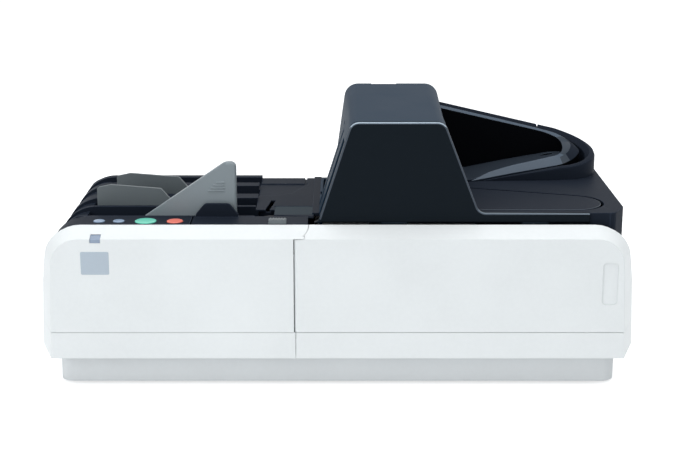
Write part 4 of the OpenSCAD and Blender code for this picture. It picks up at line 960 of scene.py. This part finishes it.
def floor_height(x):
    """The height of the bay's floor at a place X, on straight stretches between the slope's places."""
    for (x0, z0), (x1, z1) in zip(FLOOR_SLOPE, FLOOR_SLOPE[1:]):
        if x <= x1:
            return z0 + (z1 - z0) * max(0.0, x - x0) / (x1 - x0)
    return FLOOR_SLOPE[-1][1]


front_half = inner_line[:8 * STEPS_BETWEEN]
bpy.ops.object.select_all(action="DESELECT")
bpy.ops.mesh.primitive_grid_add(x_subdivisions=FLOOR_COLUMNS, y_subdivisions=1, size=MM)
bay_floor = bpy.context.object
bay_floor.name = "island_floor"
for column in range(FLOOR_COLUMNS + 1):
    x = FLOOR_LEFT_X + (FLOOR_RIGHT_X - FLOOR_LEFT_X) * column / FLOOR_COLUMNS
    front_y = min((abs(spot.x - x), spot.y) for spot in front_half)[1] + 0.2
    bay_floor.data.vertices[column].co = place(x, front_y, floor_height(x))
    bay_floor.data.vertices[FLOOR_COLUMNS + 1 + column].co = place(x, BAY_BACK_Y + 1.0, floor_height(x))
make_active(bay_floor)
thickness = bay_floor.modifiers.new("thickness", "SOLIDIFY")
thickness.thickness = FLOOR_THICKNESS * MM
thickness.offset = -1.0
bpy.ops.object.modifier_apply(modifier="thickness")
print("floor:", [round(c, 1) for c in bay_floor.dimensions / MM])

# %% Its finger hole
HOLE_CENTRE = (215.9, 206.2, 180.0)
HOLE_R = 3.4
bpy.ops.mesh.primitive_cylinder_add(vertices=32, radius=HOLE_R * MM, depth=14 * MM,
                                    location=place(*HOLE_CENTRE))
hole_cutter = bpy.context.object
hole_cutter.scale = (2.0, 1.0, 1.0)
bpy.ops.object.transform_apply(location=True, rotation=True, scale=True)
carve(bay_floor, hole_cutter)
bpy.data.objects.remove(hole_cutter)
finish_edges(bay_floor, 0.4, 2)

# %% Join the island on its hidden foot
ISLAND_FOOT_Z = 127.2
hidden_foot = block("island_foot", (160.0, 180.0, ISLAND_FOOT_Z), (228.0, 214.0, 160.0))
hidden_foot_front = block("island_foot_front", (134.0, 160.0, ISLAND_FOOT_Z), (161.0, 214.0, 160.0))
island = join_pieces("island_moulding", [band, bay_floor, hidden_foot, hidden_foot_front])
dress(island, body_of["island_cover"], "black_shell", ("island_cover",))

# %% Give the island's faces their finishes: painted sheen, highlight, light and shade by the way each face looks
OUTER_FACES, BAND_TOP_SHEEN, BAY_WALL_SHADE, BAY_FLOOR_LIGHT, BAND_FRONT_HIGHLIGHT = range(5)
SLOPE_X = 235.0
FRONT_END_X = 229.0
BAY_FRONT_Y = 176.0
# painted light and shade by facing: top a sheen, forward faces a highlight, floor lighter, back wall
# near-black, outer slopes plain black
for finish_name in ("band_painted_sheen", "bay_black", "bay_floor", "band_painted_highlight"):
    island.data.materials.append(finishes[finish_name])
for face in island.data.polygons:
    centre = face.center / MM
    normal = face.normal
    is_sloping = normal.z > 0.25
    if normal.z > 0.9 and abs(centre.z - floor_height(centre.x)) < 1.5:
        face.material_index = BAY_FLOOR_LIGHT
    elif is_sloping and normal.x > 0.3 and centre.x > SLOPE_X:
        face.material_index = OUTER_FACES
    elif is_sloping and normal.y < -0.42 and centre.x < FRONT_END_X:
        face.material_index = BAND_FRONT_HIGHLIGHT
    elif is_sloping:
        face.material_index = BAND_TOP_SHEEN
    elif abs(normal.z) <= 0.25 and centre.y + DEPTH / 2 > BAY_FRONT_Y:
        face.material_index = BAY_WALL_SHADE
print("faces of the band's top:", sum(face.material_index == BAND_TOP_SHEEN for face in island.data.polygons))

# %% [markdown]
# The hopper's pusher
#
# The grey pusher is a moulded wedge that presses the cheques against the front wall of the hopper. Its
# right end is turned back in a wide bend, and four finger ribs stand out near the top. A block becomes the
# wedge when its upper left edge is lowered. Its right face is drawn out to make the upright end, and the
# edges are bevelled one kind at a time.

# %% The wedge
pusher_low, pusher_high = (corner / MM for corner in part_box("hopper_pusher"))
PUSHER_FRONT = HOPPER_Y + 0.5
PUSHER_BACK = PUSHER_FRONT + 6.0
PUSHER_LEFT = pusher_low.x
PUSHER_RIGHT = pusher_high.x
PUSHER_TOP = pusher_high.z
PUSHER_FOOT = TRACK_FLOOR_Z + 0.8
PEAK_X = PUSHER_RIGHT - 10.5
wedge = block("pusher_wedge", (PUSHER_LEFT, PUSHER_FRONT, PUSHER_FOOT), (PEAK_X, PUSHER_BACK, PUSHER_TOP))
move_vertices(wedge, lambda v: v.x < PUSHER_LEFT + 1 and v.z > PUSHER_TOP - 1,
              (0.0, 0.0, LEFT_DECK_Z - 1.0 - PUSHER_TOP))
select_faces(wedge, lambda face: face.normal.x > 0.9)
bpy.ops.object.mode_set(mode="EDIT")
bpy.ops.mesh.extrude_region_move(TRANSFORM_OT_translate={"value": ((PUSHER_RIGHT - PEAK_X) * MM, 0.0, 0.0)})
bpy.ops.object.mode_set(mode="OBJECT")
print("wedge:", [round(c, 1) for c in wedge.dimensions / MM])

# %% Its corner, its peak and its bend
FRONT_LINE = PUSHER_FRONT - DEPTH / 2 + 0.1
CORNER_R = 5.0
PEAK_R = 3.0
BEND_R = 4.2


def top_edge(a, b):
    """An edge at the top of the wedge that runs from its front to its back; a and b are its ends."""
    return abs(a.y - b.y) > 1.0 and a.z > PUSHER_TOP - 1


def at_corner(a, b):
    return top_edge(a, b) and min(a.x, b.x) > PEAK_X + 1


def at_peak(a, b):
    return top_edge(a, b) and abs(a.x - PEAK_X) < 0.1


def at_bend(a, b):
    """An edge of the front face, right of the peak and above the foot."""
    in_front = max(a.y, b.y) < FRONT_LINE and min(a.x, b.x) > PEAK_X + 0.5
    return in_front and min(a.z, b.z) > PUSHER_FOOT - 0.1 and max(a.z, b.z) > PUSHER_FOOT + 1


round_edges(wedge, at_corner, CORNER_R, 6)
round_edges(wedge, at_peak, PEAK_R, 4)
round_edges(wedge, at_bend, BEND_R, 6)
finish_edges(wedge, 1.0)

# %% Its neck and its finger ribs
NECK_FRONT = PUSHER_FRONT + 0.3
NECK_BACK = PUSHER_BACK - 0.3
neck = block("pusher_neck", (-127.0, NECK_FRONT, pusher_low.z), (-105.0, NECK_BACK, pusher_low.z + 9))
stem = block("pusher_stem", (-118.5, NECK_FRONT, pusher_low.z + 8), (-113.5, NECK_BACK, PUSHER_FOOT + 1))
RIB_LEFTS = (-113.0, -116.4, -118.6, -121.0)
RIB_RIGHT = -105.4
TOP_RIB_Z = 184.4
RIB_STEP = 2.7
ribs = []
for row, rib_left in enumerate(RIB_LEFTS):
    rib_z = TOP_RIB_Z - RIB_STEP * row
    rib = block("pusher_rib", (rib_left, PUSHER_FRONT - 0.8, rib_z),
                (RIB_RIGHT, PUSHER_FRONT + 1, rib_z + 1.2))
    finish_edges(rib, 0.35, 2)
    ribs.append(rib)
pusher = join_pieces("hopper_pusher_body", [wedge, neck, stem] + ribs)
dress(pusher, body_of["hopper_pusher"], "pusher_grey", ("hopper_pusher",))

# %% [markdown]
# The keys
#
# The four keys are round caps, nearly flush with the panel, with a soft dome and a polished rim. Each
# starts as a cylinder. Its top is inset and lifted three times, which gives the dome, and its rim is
# bevelled.

# %% One key
DOME_STEPS = ((0.08, 0.35), (0.35, 0.12), (0.3, 0.04))


def key_cap(name, node_name, radius, slot):
    """A round cap in the place of a packed key; each dome step is an inset, by radius, and a lift."""
    low, high = (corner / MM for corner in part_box(node_name))
    top = LEFT_DECK_Z + 0.2
    centre_x = (low.x + high.x) / 2
    centre_y = (low.y + high.y) / 2 + DEPTH / 2
    bpy.ops.object.select_all(action="DESELECT")
    bpy.ops.mesh.primitive_cylinder_add(vertices=48, radius=radius * MM, depth=(top - low.z) * MM,
                                        location=place(centre_x, centre_y, (top + low.z) / 2))
    key = bpy.context.object
    key.name = name
    bpy.ops.object.transform_apply(location=True, rotation=True, scale=True)
    select_faces(key, lambda face: face.normal.z > 0.9)
    bpy.ops.object.mode_set(mode="EDIT")
    for inset, lift in DOME_STEPS:
        bpy.ops.mesh.inset(thickness=inset * radius * MM)
        bpy.ops.transform.translate(value=(0.0, 0.0, lift * MM))
    bpy.ops.mesh.select_mode(type="VERT")
    bpy.ops.object.mode_set(mode="OBJECT")
    finish_edges(key, 0.15, 2, 25.0)
    dress(key, body_of[node_name], slot, (node_name,))
    return key


key_cap("key_previous", "button_prev", 5.3, "key_blue")
key_cap("key_following", "button_next", 5.3, "key_blue")
key_cap("key_go", "button_start", 9.9, "key_green")
key_cap("key_halt", "button_stop", 7.5, "key_red")

# %% [markdown]
# The latch of the feeder cover
#
# A grey slider sits at the front edge of the feeder cover. Its face is plain and its top carries short
# ribs for the finger.

# %% The latch
latch_low, latch_high = (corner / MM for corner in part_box("feeder_latch"))
latch_front = latch_low.y + DEPTH / 2
latch_back = latch_high.y + DEPTH / 2
latch_middle = (latch_low.x + latch_high.x) / 2
BODY_HALF = 8.2
LATCH_RIBS = 6
LATCH_RIB_STEP = 2.6
latch_body = block("latch_body", (latch_middle - BODY_HALF, latch_front, LEFT_DECK_Z - 0.4),
                   (latch_middle + BODY_HALF, latch_back, latch_high.z - 0.6))
latch_foot = block("latch_foot", (latch_low.x, latch_front + 1.5, latch_low.z),
                   (latch_high.x, latch_back - 0.5, LEFT_DECK_Z - 0.3))
finish_edges(latch_body, 0.5)
latch_ribs = []
for count in range(LATCH_RIBS):
    rib_x = latch_middle - 7.1 + LATCH_RIB_STEP * count
    rib = block("latch_rib", (rib_x, latch_front + 0.3, latch_high.z - 1.2),
                (rib_x + 1.4, latch_back - 0.3, latch_high.z))
    finish_edges(rib, 0.3, 2)
    latch_ribs.append(rib)
latch = join_pieces("feeder_latch_slider", [latch_body, latch_foot] + latch_ribs)
dress(latch, body_of["feeder_latch"], "grey_plastic", ("feeder_latch",))

# %% [markdown]
# The badge plate
#
# A small square plate with rounded corners sits on the left panel.

# %% The badge plate
badge_body = block("badge_plate", (-233.5, -0.35, 111.5), (-207.8, 0.6, 133.0))
round_edges(badge_body, lambda a, b: abs(a.y - b.y) > 0.5, 1.2, 4)
finish_edges(badge_body, 0.25, 2)
dress(badge_body, body_of["front_panel_left"], "window_clear", (), finishes["badge_metal"])

# %% [markdown]
# The tray in front of the tower
#
# A shallow tray of a bluer, smoother plastic guides the cheques from the hopper under the tower.

# %% The tray
tray = block("feed_tray", (-59.9, 61.6, LEFT_DECK_Z - 2.6), (-23.2, 93.4, LEFT_DECK_Z - 1.2))
round_edges(tray, lambda a, b: abs(a.z - b.z) > 1, 1.5, 4)
finish_edges(tray, 0.4, 2)
dress(tray, body_of["deck_left"], "black_shell", (), finishes["tray_blue"])
